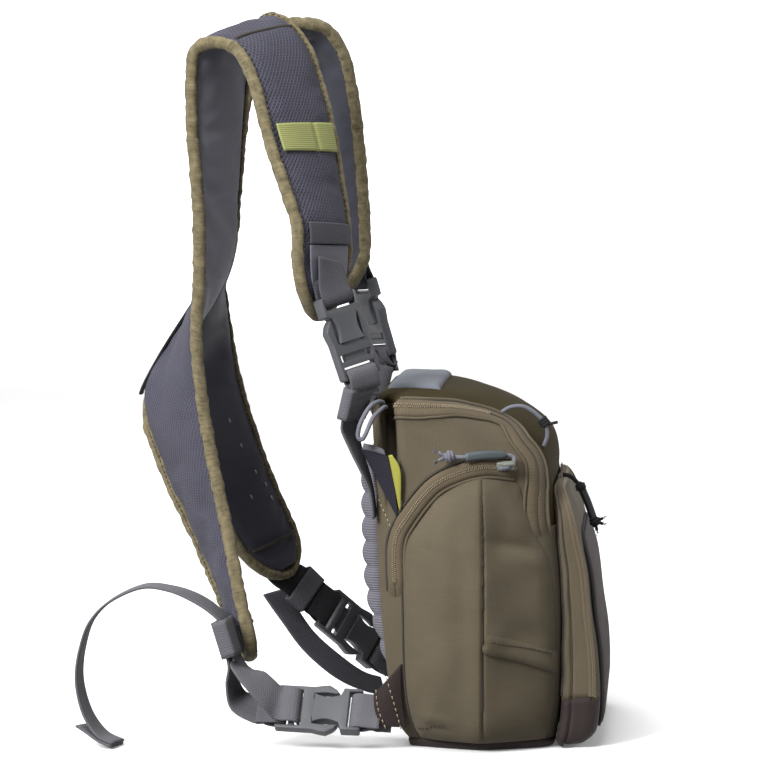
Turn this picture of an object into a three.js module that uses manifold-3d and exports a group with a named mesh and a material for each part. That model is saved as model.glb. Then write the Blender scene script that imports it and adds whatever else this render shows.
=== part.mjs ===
// Chest pack with a padded shoulder harness, standing on its base.
// Millimetres, +Z up, +X towards the pack's front, -Y its near side.
// The origin is on the underside of the base, below the middle of the main compartment.

import * as THREE from 'three';
import { mergeVertices } from 'three/addons/utils/BufferGeometryUtils.js';
import Module from 'manifold-3d';

const wasm = await Module();
wasm.setup();

// Driving dimensions

const GAP = 0.3;
const WALL = 2;
const NEAR = -1;
const FAR = 1;
const SIDES = [['near', NEAR], ['far', FAR]];

// Main compartment: one line for each level, with the back, ridge and front along X, half widths along Y,
// the depth of the fold behind the side, and how far the middle of the front stands out.
const BODY_COLUMNS = ['z', 'back', 'ridge', 'front', 'halfBack', 'halfRidge', 'halfFront', 'notch', 'crown'];
const BODY_LINES = [
  [5, -36, 3, 40, 82, 97, 82, 0, 0],
  [12, -41, 3, 42, 88, 103, 86, 0, 0],
  [30, -46, 3, 43.5, 92, 105, 88, 0, 0],
  [75, -50.5, 3, 44, 93, 106, 88, 0, 0],
  [115, -53, 3, 41, 92, 103, 86, 0, 0],
  [135, -53.5, 2, 38.5, 91, 101, 84, 2, 1],
  [150, -54, -1, 35, 90, 99, 82, 6, 5],
  [162, -55, -6, 28, 89, 97, 78, 8, 9],
  [171, -55.5, -12, 16, 88, 95, 75, 8, 12],
  [178.5, -56, -20, 2, 86, 93, 72, 6, 13],
  [184, -55, -28, -10, 80, 87, 68, 3, 10],
  [187.4, -50, -34, -20, 62, 66, 56, 0, 5],
  [189, -44, -36, -28, 36, 38, 34, 0, 0],
];
const NOTCH_BACK = 8;
const NOTCH_OUT = 3;
const SIDE_BACK = 14;
const SIDE_OUT = 6;
const CORNER_ROUNDS = { back: 8, notch: 2, side: 4, ridge: 9, front: 12 };
const BASE_THICK = 4.7;
const BASE_INSET = 3;

// Main zip in side view, from behind the back wall over the top and down the front corner.
const ZIP_LINE = [[-80, 181.5], [-51, 181], [-14, 179.6], [12, 172.5], [22.5, 161.5], [29.5, 152], [31, 141],
  [30.5, 128], [30.5, 117]];
const ZIP_HALF = 3.6;
const ZIP_END = 117;

// Front pocket: depth in front of the body at each level, and how its layers step forwards and inwards.
const POCKET_DEPTHS = [[3, 18.5], [12, 20.5], [46, 18.7], [70, 15.5], [93, 14], [108, 11.5], [120, 9.5],
  [130, 7], [136, 4]];
const POCKET_OUTLINE = { low: 3, high: 136, halfLow: 86, halfHigh: 78, roundLow: 9, roundHigh: 26 };
const POCKET_LAYERS = [[0, 0], [0.4, -1], [0.85, 1.5], [1, 9], [1.05, 30]];
const POCKET_BASE_TOP = 26;
const PANEL_LAYERS = [[1, 8.5], [1.03, 12], [1.07, 30]];
const PANEL_LIFT = 1.2;
const PANEL_HIGH = 118;
const FRONT_ZIP = { from: 0.45, to: 0.8, outLow: 1.4, outHigh: 1.1, thick: 1.2 };

// Side pocket: its outline and the arched zip above it, as X and Z on the side of the body.
const SIDE_OUTLINE = [[-29, 8], [-36, 25], [-37.5, 45], [-38, 70], [-38, 95], [-36, 110], [-31, 119],
  [-20, 134], [-9, 141], [3, 144.5], [17, 142.5], [23, 131], [28, 114], [36, 100], [40, 75], [41, 45],
  [40, 20], [35, 9]];
const SIDE_CENTRE = [-2, 72];
const SIDE_STEPS = [1, 0.9, 0.65, 0.3];
const SIDE_SWELL = 7;
const SIDE_DENT = { x: 26, z: 100, reach: 22, depth: 4 };
const SIDE_GAP = 0.6;
const SIDE_ARCH = [[-42, 77], [-43, 97], [-42.5, 110], [-38, 121], [-24.5, 138.5], [-11, 146.3], [3, 149.5],
  [18, 148]];
const SIDE_ZIP = { width: 7.4, thick: 1.8, lift: 2 };
const HEM_LINE = [[5, 57], [16, 53], [29, 47], [40, 40]];
const HEM = { width: 7, thick: 1.5, lift: 2, reach: 58 };

// Ridged pad on the back: the outer face at each level, with rounded ridges across it.
const BACK_FACE = [[42, -49.5], [57, -54], [75, -59], [100, -61.5], [147, -62], [156, -58]];
const BACK_PAD = { half: 74, ridge: 13, rise: 2.2, steps: 4 };

// Harness halves: arm-side edge and inner edge of the padded strap, from its front end over the shoulder
// and down the yoke to the tip of its wing.
const PAD_NEAR = [
  [-90.5, -98, 228, -78, -60, 226],
  [-93.5, -99, 254, -72, -60, 253],
  [-94.5, -97, 276, -72, -58, 273],
  [-102, -93, 298, -75, -54, 293],
  [-110, -88, 321, -80, -49, 321],
  [-117, -82, 346, -86, -43, 345],
  [-126, -76, 365, -95, -37, 369],
  [-139, -70, 371, -108, -32, 383],
  [-151, -65, 367, -119, -28, 382],
  [-153.5, -62, 353, -127, -24, 365],
  [-153.5, -60, 325, -131, -20, 335],
  [-150.5, -58, 282, -135, -14, 292],
  [-150.5, -56, 245, -141, -7, 253],
  [-152, -56, 213, -161.5, 0.4, 222.5],
  [-148, -58, 176, -185.5, 0.4, 181.5],
  [-141, -63, 141, -173.5, -14, 141],
  [-133, -71, 108, -153, -28, 102],
  [-126, -81, 77, -140, -42, 75],
  [-117, -88, 46, -128, -50, 44],
];
const PAD_FAR = [
  [-99, 97, 232, -79, 60, 230],
  [-95, 99, 255, -71, 60, 253],
  [-95, 97, 275, -70.5, 58, 273],
  [-98, 93, 303, -72, 54, 302],
  [-103, 88, 331, -74.5, 49, 332],
  [-110, 82, 354, -79, 43, 360],
  [-117, 76, 368, -86, 37, 376],
  [-127, 70, 374, -94, 32, 382],
  [-142, 65, 371, -108, 27, 382],
  [-151, 62, 357, -120, 23, 370],
  [-153, 60, 327, -127, 19, 338],
  [-152, 58, 283, -133, 14, 293],
  [-152, 56, 246, -140, 7, 254],
  [-148, 56, 214, -160.5, -0.4, 222.5],
  [-141, 58, 178, -184.5, -0.4, 181.5],
  [-129, 62, 139, -164, 14, 141],
  [-117, 66, 109, -144, 28, 100],
  [-104, 70, 80, -124, 42, 70],
];
const PAD = { middle: 4.2, edge: 2.3, inset: 3.5, endRound: 22, step: 26 };
const BINDING = { half: 2.7, thick: 3.5, sides: 4 };
const SPINE = { notch: 250, crotch: 165, width: 9, thick: 1.6, lift: 4 };
const LIME_TAB = { from: 88, to: 103, reach: 0.8, thick: 1 };
const ELASTIC = { from: 38, to: 49, reach: 0.74, thick: 1.2 };

// Webbing and side-release buckles, all for straps of one width.
const WEB = { width: 20, thick: 1.6 };
const BUCKLE = {
  length: 45,
  half: 12.7,
  thick: 5,
  bar: 3,
  slot: 4,
  slotHalf: 10.5,
  secondSlot: [10, 13.5],
  socketThick: 7,
  mouth: { from: 19, to: 33, wide: 6, high: 2.8 },
};
const BUCKLES = {
  front_near: { at: [-68.3, -91.2, 217.5], along: [-14, 2, 41], across: [0.7, 0.7, 0.2] },
  front_far: { at: [-69, 85, 218], along: [-10, -4, 36], across: [0.6, -0.78, 0.1] },
  low_near: { at: [-83, -95, 20.5], along: [1, -0.04, -0.04], across: [0, 0.6, 0.8] },
  low_far: { at: [-79, 83, 40], along: [0.66, 0.41, -0.63], across: [0.4, 0.45, 0.8] },
};
const SLEEVE = { width: 24, wall: 1.2, clear: 0.6 };

const COLOURS = {
  body: [0x7d705d, 0.9],
  olive: [0x6a6040, 0.9],
  grey_foam: [0x83868f, 0.95],
  base: [0x3e3432, 0.8],
  panel: [0x5a5058, 0.85],
  back: [0x77757b, 0.95],
  mesh: [0x5f5f68, 0.95],
  binding: [0x8a8060, 0.9],
  web: [0x6b6b70, 0.85],
  plastic: [0x65666b, 0.5],
  lime: [0xb5c04e, 0.9],
  navy: [0x33333d, 0.9],
  black: [0x2d2d2f, 0.6],
  cord: [0x8b8c97, 0.8],
};
const materials = Object.fromEntries(Object.entries(COLOURS).map(([name, [color, roughness]]) => [
  name,
  new THREE.MeshStandardMaterial({ color, roughness, metalness: 0 }),
]));

// Small helpers

const vec = (x, y, z) => new THREE.Vector3(x, y, z);
const clamp = THREE.MathUtils.clamp;
const lerp = THREE.MathUtils.lerp;
const named = (columns, line) => Object.fromEntries(line.map((value, k) => [columns[k], value]));

// The value of a two-column table at x, on straight lines between its rows.
function tableAt(table, x) {
  const last = table.length - 2;
  const k = clamp(table.findIndex((line) => line[0] > x) - 1, 0, last);
  const row = x >= table[last + 1][0] ? last : k;
  const f = clamp((x - table[row][0]) / (table[row + 1][0] - table[row][0]), 0, 1);
  return lerp(table[row][1], table[row + 1][1], f);
}

// A smooth curve through the lines of a table: at(d) gives the line at distance d along its first columns.
function smooth(lines, { closed = false, measured = 3 } = {}) {
  const last = closed ? lines.length : lines.length - 1;
  const pick = (k) => (closed ? lines[(k + lines.length) % lines.length] : lines[clamp(k, 0, last)]);
  const value = (t) => {
    const k = Math.min(Math.floor(t), last - 1);
    const f = t - k;
    const [a, b, c, d] = [k - 1, k, k + 1, k + 2].map(pick);
    return b.map((_, i) => 0.5 * (2 * b[i] + (c[i] - a[i]) * f
      + (2 * a[i] - 5 * b[i] + 4 * c[i] - d[i]) * f * f
      + (3 * b[i] - a[i] - 3 * c[i] + d[i]) * f * f * f));
  };
  const finePerLine = 24;
  const fine = Array.from({ length: finePerLine * last + 1 }, (_, k) => value(k / finePerLine));
  const travelled = [0];
  for (let k = 1; k < fine.length; k += 1) {
    const step = Math.hypot(...fine[k].slice(0, measured).map((v, i) => v - fine[k - 1][i]));
    travelled.push(travelled[k - 1] + step);
  }
  const length = travelled[travelled.length - 1];
  const at = (distance) => {
    const d = clamp(distance, 0, length);
    const k = clamp(travelled.findIndex((v) => v >= d), 1, fine.length - 1);
    const f = (d - travelled[k - 1]) / (travelled[k] - travelled[k - 1]);
    return fine[k].map((v, i) => lerp(fine[k - 1][i], v, f));
  };
  const spread = (count) => {
    const gaps = closed ? count : count - 1;
    return Array.from({ length: count }, (_, k) => at(length * k / gaps));
  };
  return { length, at, spread };
}

// A closed body whose skin runs through rings of equal length, with a fan over each end.
function skin(rings) {
  const count = rings[0].length;
  const points = rings.flat();
  const faces = [];
  for (let r = 0; r + 1 < rings.length; r += 1) {
    for (let k = 0; k < count; k += 1) {
      const a = r * count + k;
      const b = r * count + (k + 1) % count;
      faces.push([a, b, b + count], [a, b + count, a + count]);
    }
  }
  [[0, true], [rings.length - 1, false]].forEach(([r, first]) => {
    const centre = rings[r].reduce((sum, p) => sum.add(p), vec(0, 0, 0)).divideScalar(count);
    points.push(centre);
    for (let k = 0; k < count; k += 1) {
      const a = r * count + k;
      const b = r * count + (k + 1) % count;
      faces.push(first ? [b, a, points.length - 1] : [a, b, points.length - 1]);
    }
  });
  const volume = faces.reduce((sum, [a, b, c]) => sum + points[a].dot(points[b].clone().cross(points[c])), 0);
  const outward = volume > 0 ? faces : faces.map(([a, b, c]) => [a, c, b]);
  const geometry = new THREE.BufferGeometry().setFromPoints(points);
  geometry.setIndex(outward.flat());
  return geometry;
}

function toSolid(geometry) {
  const bare = geometry.clone();
  bare.deleteAttribute('normal');
  bare.deleteAttribute('uv');
  const merged = mergeVertices(bare, 1e-4);
  return new wasm.Manifold(new wasm.Mesh({
    numProp: 3,
    vertProperties: Float32Array.from(merged.attributes.position.array),
    triVerts: Uint32Array.from(merged.index.array),
  }));
}

function toGeometry(solid) {
  const mesh = solid.getMesh();
  const geometry = new THREE.BufferGeometry();
  geometry.setAttribute('position', new THREE.BufferAttribute(mesh.vertProperties, 3));
  geometry.setIndex(new THREE.BufferAttribute(mesh.triVerts, 1));
  return geometry;
}

const pack = new THREE.Group();
function add(name, shape, material, parent = pack) {
  const geometry = shape.isBufferGeometry ? shape : toGeometry(shape);
  geometry.computeVertexNormals();
  const mesh = new THREE.Mesh(geometry, materials[material]);
  mesh.name = name;
  parent.add(mesh);
}

// A block across the whole width, from an outline in side view.
const BLOCK_WIDTH = 400;
function sideBlock(outline) {
  const shape = new THREE.Shape(outline.map(([x, z]) => new THREE.Vector2(x, z)));
  const block = new THREE.ExtrudeGeometry(shape, { depth: BLOCK_WIDTH, bevelEnabled: false });
  return toSolid(block.rotateX(Math.PI / 2).translate(0, BLOCK_WIDTH / 2, 0));
}

// A flat strip along stations of { p, across, width, thick }, cut square to its run or kept parallel.
function strip(stations, square = true) {
  return skin(stations.map(({ p, across, width, thick }, k) => {
    const before = stations[Math.max(k - 1, 0)].p;
    const after = stations[Math.min(k + 1, stations.length - 1)].p;
    const tangent = after.clone().sub(before).normalize();
    const side = across.clone().addScaledVector(tangent, square ? -across.dot(tangent) : 0).normalize();
    const normal = side.clone().cross(tangent).normalize();
    return [[-1, -1], [1, -1], [1, 1], [-1, 1]].map(([s, n]) => p.clone()
      .addScaledVector(side, s * width / 2).addScaledVector(normal, n * thick / 2));
  }));
}

// A strip along the smooth route of lines [x, y, z, across x, across y, across z, thick].
function webbing(lines, count, { width = WEB.width, extra = 0, square = true } = {}) {
  return strip(smooth(lines).spread(count).map(([x, y, z, ax, ay, az, thick]) => ({
    p: vec(x, y, z), across: vec(ax, ay, az), width, thick: thick + extra,
  })), square);
}

// A round tube along a smooth route of points.
function tube(points, radius, steps, sides = 8) {
  const circle = new THREE.Shape();
  circle.absarc(0, 0, radius, 0, 2 * Math.PI);
  const path = new THREE.CatmullRomCurve3(points.map((p) => vec(...p)));
  const settings = { steps, curveSegments: sides / 2, bevelEnabled: false, extrudePath: path };
  return new THREE.ExtrudeGeometry(circle, settings);
}

const ball = (at, radius) => new THREE.SphereGeometry(radius, 8, 4).translate(...at);
const union = (shapes) => shapes.map(toSolid).reduce((sum, solid) => sum.add(solid));

// Main compartment

const BODY = BODY_LINES.map((line) => named(BODY_COLUMNS, line));

function bodyAt(z) {
  const column = (name) => BODY.map((row) => [row.z, row[name]]);
  return Object.fromEntries(BODY_COLUMNS.map((name) => [name, tableAt(column(name), z)]));
}

const crownAt = (row, y) => row.crown * Math.max(0, 1 - (y / row.halfFront) ** 2);

// The corners of one level on one side, from the back to the front.
function bodyCorners(row, inset) {
  const back = row.back + inset;
  const front = row.front - inset;
  return [
    [back, row.halfBack - inset, 'back'],
    [back + NOTCH_BACK, row.halfBack + NOTCH_OUT - row.notch - inset, 'notch'],
    [back + SIDE_BACK, row.halfBack + SIDE_OUT - inset, 'side'],
    [row.ridge, row.halfRidge - inset, 'ridge'],
    [front, row.halfFront - inset, 'front'],
  ];
}

// A ring with every corner rounded and extra points on the long edges.
const SMALL_ROUND = 8;
const NEAR_EDGE_POINTS = { back: 0, notch: 0, side: 0, ridge: 1, front: 3 };
const FAR_EDGE_POINTS = { front: 1, ridge: 0, side: 0, notch: 0, back: 1 };
function roundedRing(corners, place) {
  const ring = [];
  corners.forEach(([x, y, round, edgePoints], k) => {
    const here = new THREE.Vector2(x, y);
    const before = new THREE.Vector2(...corners[(k + corners.length - 1) % corners.length]);
    const after = new THREE.Vector2(...corners[(k + 1) % corners.length]);
    const towards = (other) => here.clone().lerp(other, Math.min(round / here.distanceTo(other), 0.4));
    const bend = new THREE.QuadraticBezierCurve(towards(before), here, towards(after));
    ring.push(...bend.getPoints(round > SMALL_ROUND ? 2 : 1));
    const nextRound = corners[(k + 1) % corners.length][2];
    const start = towards(after);
    const end = after.clone().lerp(here, Math.min(nextRound / here.distanceTo(after), 0.4));
    for (let e = 1; e <= edgePoints; e += 1) {
      ring.push(start.clone().lerp(end, e / (edgePoints + 1)));
    }
  });
  return ring.map(place);
}

function bodyRing(row, inset, z = row.z) {
  const half = bodyCorners(row, inset);
  const corners = [
    ...half.map(([x, y, name]) => [x, -y, CORNER_ROUNDS[name], NEAR_EDGE_POINTS[name]]),
    ...half.reverse().map(([x, y, name]) => [x, y, CORNER_ROUNDS[name], FAR_EDGE_POINTS[name]]),
  ];
  return roundedRing(corners, (p) => {
    const ahead = clamp((p.x - row.ridge) / (row.front - row.ridge), 0, 1);
    return vec(p.x + ahead * crownAt(row, p.y), p.y, z);
  });
}

// The inner skin lies lower under the lid's crown.
const LID_LOW = 140;
const LID_HIGH = 186;
const bodyOuter = toSolid(skin(BODY.map((row) => bodyRing(row, 0))));
const bodyInner = toSolid(skin(BODY.map((row, k) => {
  const drop = WALL * THREE.MathUtils.smoothstep(row.z, LID_LOW, LID_HIGH);
  return bodyRing(row, WALL, k === 0 ? row.z + WALL : row.z - drop);
})));
const bodyShell = bodyOuter.subtract(bodyInner);

// The zip line moved sideways by d, ending straight down.
function zipOffset(d) {
  return ZIP_LINE.map(([x, z], k) => {
    const [x0, z0] = ZIP_LINE[Math.max(k - 1, 0)];
    const [x1, z1] = ZIP_LINE[Math.min(k + 1, ZIP_LINE.length - 1)];
    const length = Math.hypot(x1 - x0, z1 - z0);
    return k === ZIP_LINE.length - 1 ? [x + d, z] : [x - (z1 - z0) / length * d, z + (x1 - x0) / length * d];
  });
}

const ABOVE = 230;
const AHEAD = 90;
function aboveZip(d, low) {
  const edge = zipOffset(d);
  return sideBlock([...edge.slice(0, -1), [edge.at(-1)[0], low], [AHEAD, low], [AHEAD, ABOVE],
    [ZIP_LINE[0][0], ABOVE]]);
}
const zipBand = sideBlock([...zipOffset(-ZIP_HALF), ...zipOffset(ZIP_HALF).reverse()]);

add('main_body', bodyShell.subtract(aboveZip(-ZIP_HALF - GAP, ZIP_END - GAP)), 'body');
add('lid', bodyShell.intersect(aboveZip(ZIP_HALF + GAP, ZIP_END)), 'olive');
add('main_zip', bodyShell.intersect(zipBand), 'body');
add('base_panel', skin([
  bodyRing(BODY[0], BASE_INSET, 0),
  bodyRing(BODY[0], 0.5, BASE_THICK / 2),
  bodyRing(BODY[0], 0, BASE_THICK),
]), 'base');

// Fly patch: a foam slab that follows the crown of the lid.
const PATCH = { back: -50, front: -21, half: 58, thick: 3.5 };
const patchColumn = toSolid(new THREE.BoxGeometry(PATCH.front - PATCH.back, 2 * PATCH.half, ABOVE)
  .translate((PATCH.front + PATCH.back) / 2, 0, ABOVE / 2 + 150));
add('fly_patch', bodyOuter.translate([0, 0, GAP + PATCH.thick]).intersect(patchColumn)
  .subtract(bodyOuter.translate([0, 0, GAP])), 'grey_foam');

// Front pocket

function pocketRing(fraction, inset, lift, high = POCKET_OUTLINE.high) {
  const { low, halfLow, halfHigh, roundLow, roundHigh } = POCKET_OUTLINE;
  const corners = [
    [-halfLow + inset, low + inset, roundLow, 2],
    [halfLow - inset, low + inset, roundLow, 3],
    [halfHigh - inset, high - inset, roundHigh, 3],
    [-halfHigh + inset, high - inset, roundHigh, 3],
  ];
  return roundedRing(corners, ({ x: y, y: z }) => {
    const row = bodyAt(clamp(z, BODY[0].z, high));
    const depth = fraction * tableAt(POCKET_DEPTHS, z);
    return vec(row.front + crownAt(row, y) + 2 * GAP + lift + depth, y, z);
  });
}

const pocketShell = toSolid(skin([
  ...[...POCKET_LAYERS].reverse().map(([fraction, inset]) => pocketRing(fraction, inset, 0)),
  ...POCKET_LAYERS.map(([fraction, inset], k) => pocketRing(fraction, inset + WALL, k === 0 ? 0 : -WALL)),
]));
const lowBlock = (top) => sideBlock([[-AHEAD, -AHEAD], [AHEAD, -AHEAD], [AHEAD, top], [-AHEAD, top]]);
add('front_pocket', pocketShell.subtract(lowBlock(POCKET_BASE_TOP + GAP)), 'body');
add('front_pocket_base', pocketShell.intersect(lowBlock(POCKET_BASE_TOP)), 'base');
const panelRings = (lift) => PANEL_LAYERS.map(
  ([fraction, inset]) => pocketRing(fraction, inset, lift, PANEL_HIGH));
add('front_panel', skin([...panelRings(PANEL_LIFT + WALL).reverse(), ...panelRings(PANEL_LIFT)]), 'panel');

// The pocket's zip follows its gusset from one side of the base over the top to the other side.
const zipLow = pocketRing(FRONT_ZIP.from, -FRONT_ZIP.outLow, 0);
const zipHigh = pocketRing(FRONT_ZIP.to, -FRONT_ZIP.outHigh, 0);
const zipOutside = pocketRing(FRONT_ZIP.from, -FRONT_ZIP.outLow - FRONT_ZIP.thick, 0);
const zipOutsideHigh = pocketRing(FRONT_ZIP.to, -FRONT_ZIP.outHigh - FRONT_ZIP.thick, 0);
const firstUp = zipLow.findIndex((p, k) => k > 2 && p.y > 0 && p.z > POCKET_BASE_TOP);
const lastUp = zipLow.findLastIndex((p) => p.y < 0 && p.z > POCKET_BASE_TOP);
add('front_zip', skin(zipLow.map((p, k) => [p, zipHigh[k], zipOutsideHigh[k], zipOutside[k]])
  .slice(firstUp, lastUp + 1)), 'body');

// Side pockets with their arched zips and hems

function sideAt(x, z) {
  const row = bodyAt(z);
  const line = bodyCorners({ ...row, notch: 0 }, 0).map(([cx, cy]) => [cx, cy]);
  return tableAt(line, x);
}
const onSide = (x, z, lift, side) => vec(x, side * (sideAt(x, z) + lift), z);

function pocketLift(s, x, z) {
  const away = Math.hypot(x - SIDE_DENT.x, z - SIDE_DENT.z) / SIDE_DENT.reach;
  const dent = SIDE_DENT.depth * Math.max(0, 1 - away * away) * (1 - s ** 4);
  return SIDE_GAP + WALL + SIDE_SWELL * (1 - s * s) ** 0.7 - dent;
}

const sideOutline = smooth(SIDE_OUTLINE, { closed: true, measured: 2 }).spread(22);
function sideRing(s, drop, side) {
  return sideOutline.map(([x, z]) => {
    const px = lerp(SIDE_CENTRE[0], x, s);
    const pz = lerp(SIDE_CENTRE[1], z, s);
    return onSide(px, pz, pocketLift(s, px, pz) - drop, side);
  });
}

// A strip that lies on the side of the body along a line of X and Z.
function sideStrip(line, count, { width, thick }, lift, side) {
  const route = smooth(line, { measured: 2 }).spread(count).map(([x, z]) => onSide(x, z, lift(x, z), side));
  return strip(route.map((p, k) => {
    const tangent = route[Math.min(k + 1, count - 1)].clone().sub(route[Math.max(k - 1, 0)]);
    return { p, across: tangent.cross(vec(0, side, 0)), width, thick };
  }));
}

SIDES.forEach(([name, side]) => {
  const bodySpace = bodyOuter.translate([0, side * GAP, 0]);
  add(`side_pocket_${name}`, toSolid(skin([
    ...[...SIDE_STEPS].reverse().map((s) => sideRing(s, 0, side)),
    ...SIDE_STEPS.map((s) => sideRing(s, WALL, side)),
  ])).subtract(bodySpace), 'body');
  const zipTape = sideStrip(SIDE_ARCH, 14, SIDE_ZIP, () => SIDE_ZIP.lift, side);
  add(`side_zip_${name}`, toSolid(zipTape).subtract(bodySpace), 'body');
  const hemLift = (x, z) => {
    const reach = Math.hypot(x - SIDE_CENTRE[0], z - SIDE_CENTRE[1]) / HEM.reach;
    return pocketLift(Math.min(reach, 1), x, z) + HEM.lift;
  };
  add(`slip_hem_${name}`, sideStrip(HEM_LINE, 6, HEM, hemLift, side), 'body');
});

// Ridged back pad

function backProfile() {
  const low = BACK_FACE[0][0];
  const high = BACK_FACE.at(-1)[0];
  const count = Math.round((high - low) / BACK_PAD.ridge) * BACK_PAD.steps;
  const outer = Array.from({ length: count + 1 }, (_, k) => {
    const z = lerp(low, high, k / count);
    const ridge = BACK_PAD.rise * Math.abs(Math.sin(Math.PI * k / BACK_PAD.steps));
    return [tableAt(BACK_FACE, z) - ridge, z];
  });
  const levels = [high, 115, 90, 60, low];
  return [...outer, ...levels.map((z) => [bodyAt(z).back - GAP, z])];
}
const backShape = new THREE.Shape(backProfile().map(([x, z]) => new THREE.Vector2(x, z)));
add('back_panel', new THREE.ExtrudeGeometry(backShape, { depth: 2 * BACK_PAD.half, bevelEnabled: false })
  .rotateX(Math.PI / 2).translate(0, BACK_PAD.half, 0), 'back');

// A thin flat plate through corner points, given a thickness away from the middle plane.
function plate(corners, thick, side) {
  const points = corners.map(([x, y, z]) => vec(x, side * y, z));
  return skin([points, points.map((p) => p.clone().add(vec(0, side * thick, 0)))]);
}
const GUSSET = [[-57, 91, 157], [-47, 95.5, 155], [-42, 97.5, 123]];
const LINING = [[-46.5, 97.4, 155], [-41.5, 99, 147], [-40.5, 99.4, 127]];
const WING_TAB = [[-39.5, 96.4, 46], [-37, 93.9, 12], [-50, 99.2, 13], [-54, 99.6, 30]];
SIDES.forEach(([name, side]) => {
  add(`stash_gusset_${name}`, plate(GUSSET, 1.2, side), 'navy');
  add(`wing_tab_${name}`, plate(WING_TAB, WALL, side), 'base');
});
add('stash_lining_near', plate(LINING, 1, NEAR), 'lime');

// Harness pads with bound edges

function harness(lines, side) {
  const route = smooth(lines);
  const { endRound, inset } = PAD;
  const rounded = [0, 30, 60, 90].map((deg) => endRound * (1 - Math.cos(THREE.MathUtils.degToRad(deg))));
  const middleCount = Math.round((route.length - 2 * endRound) / PAD.step);
  const middle = Array.from({ length: middleCount - 1 },
    (_, k) => lerp(endRound, route.length - endRound, (k + 1) / middleCount));
  const distances = [...rounded, ...middle, ...rounded.map((d) => route.length - d).reverse()];
  const station = (d) => {
    const row = route.at(d);
    const arm = vec(...row.slice(0, 3));
    const inner = vec(...row.slice(3));
    const centre = arm.clone().lerp(inner, 0.5);
    const reach = inner.clone().sub(arm).divideScalar(2);
    const middleOf = (e) => {
      const line = route.at(e);
      return vec(line[0] + line[3], line[1] + line[4], line[2] + line[5]).divideScalar(2);
    };
    const tangent = middleOf(d + 3).sub(middleOf(d - 3)).normalize();
    const across = reach.clone().normalize();
    const normal = across.clone().cross(tangent).multiplyScalar(-side).normalize();
    const toEnd = Math.min(d, route.length - d, endRound);
    const full = reach.length();
    const edgeHalf = full * Math.sqrt(1 - ((endRound - toEnd) / endRound) ** 2);
    const padRound = endRound - inset;
    const padHalf = (full - inset) * Math.sqrt(Math.max(0, 1 - ((endRound - toEnd) / padRound) ** 2));
    return { d, centre, across, normal, tangent, edgeHalf, padHalf };
  };
  const point = (s, t, lift) => s.centre.clone().addScaledVector(s.across, t).addScaledVector(s.normal, lift);
  const stations = distances.map(station);
  return { route, station, stations, point };
}

function padThickness(t) {
  return lerp(PAD.middle, PAD.edge, Math.abs(t) ** 3);
}

function padRing(half, s) {
  const across = [-1, -0.55, 0.55, 1];
  const face = (t, way) => half.point(s, t * s.padHalf, way * padThickness(t));
  return [...across.map((t) => face(t, 1)), ...across.reverse().map((t) => face(t, -1))];
}

// The edge binding runs from the top of the yoke round the strap's front end and its wing to the yoke's foot.
function bindingRings(half) {
  const { stations } = half;
  const innerEdge = (s) => ({ s, p: half.point(s, s.edgeHalf, 0) });
  const armEdge = (s) => ({ s, p: half.point(s, -s.edgeHalf, 0) });
  const isFront = (s) => s.d < half.route.length * 0.58;
  const front = stations.filter((s) => isFront(s) && (s.d < 200 || s.centre.z > SPINE.notch));
  const wing = stations.filter((s) => !isFront(s) && half.point(s, s.edgeHalf, 0).z < SPINE.crotch);
  const loop = [
    ...front.map(innerEdge).reverse(),
    ...stations.slice(1, -1).map(armEdge),
    ...wing.map(innerEdge).reverse(),
  ];
  return loop.map(({ s, p }, k) => {
    const before = loop[Math.max(k - 1, 0)].p;
    const after = loop[Math.min(k + 1, loop.length - 1)].p;
    const out = after.clone().sub(before).normalize().cross(s.normal).normalize();
    return Array.from({ length: BINDING.sides }, (_, c) => {
      const angle = 2 * Math.PI * (c + 0.5) / BINDING.sides;
      return p.clone().addScaledVector(out, BINDING.half * Math.cos(angle))
        .addScaledVector(s.normal, BINDING.thick * Math.sin(angle));
    });
  });
}

// A patch of band across the outer face of the pad, between two distances from its front end.
const BAND_CLEAR = 0.5;
function padBand(half, { from, to, reach, thick }) {
  const across = [-1, -0.5, 0, 0.5, 1];
  return skin([from, (from + to) / 2, to].map((d) => {
    const s = half.station(d);
    const on = (t, lift) => half.point(s, t * reach * s.padHalf, padThickness(t * reach) + lift);
    const under = across.map((t) => on(t, BAND_CLEAR));
    const over = across.map((t) => on(t, BAND_CLEAR + thick));
    return [...under, ...over.reverse()];
  }));
}

const halves = { near: harness(PAD_NEAR, NEAR), far: harness(PAD_FAR, FAR) };
SIDES.forEach(([name]) => {
  const half = halves[name];
  const padStations = half.stations.slice(1, -1).filter((s) => s.padHalf > PAD.edge);
  add(`harness_pad_${name}`, skin(padStations.map((s) => padRing(half, s))), 'mesh');
  add(`harness_binding_${name}`, skin(bindingRings(half)), 'binding');
  add(`lime_tab_${name}`, padBand(half, LIME_TAB), 'lime');
  add(`elastic_keeper_${name}`, padBand(half, ELASTIC), 'web');
});

// Buckles: a socket and a prong on one axis, from the prong's end at 0 to the socket's end at its length.

function buckleFrame({ at, along, across }) {
  const x = vec(...along).normalize();
  const y = vec(...across).addScaledVector(x, -x.dot(vec(...across))).normalize();
  const z = x.clone().cross(y);
  const matrix = new THREE.Matrix4().makeBasis(x, y, z).setPosition(...at);
  const point = (px, py, pz) => vec(px - BUCKLE.length / 2, py, pz).applyMatrix4(matrix);
  return { matrix, point, y };
}
const frames = Object.fromEntries(Object.entries(BUCKLES).map(([name, place]) => [name, buckleFrame(place)]));

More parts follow.
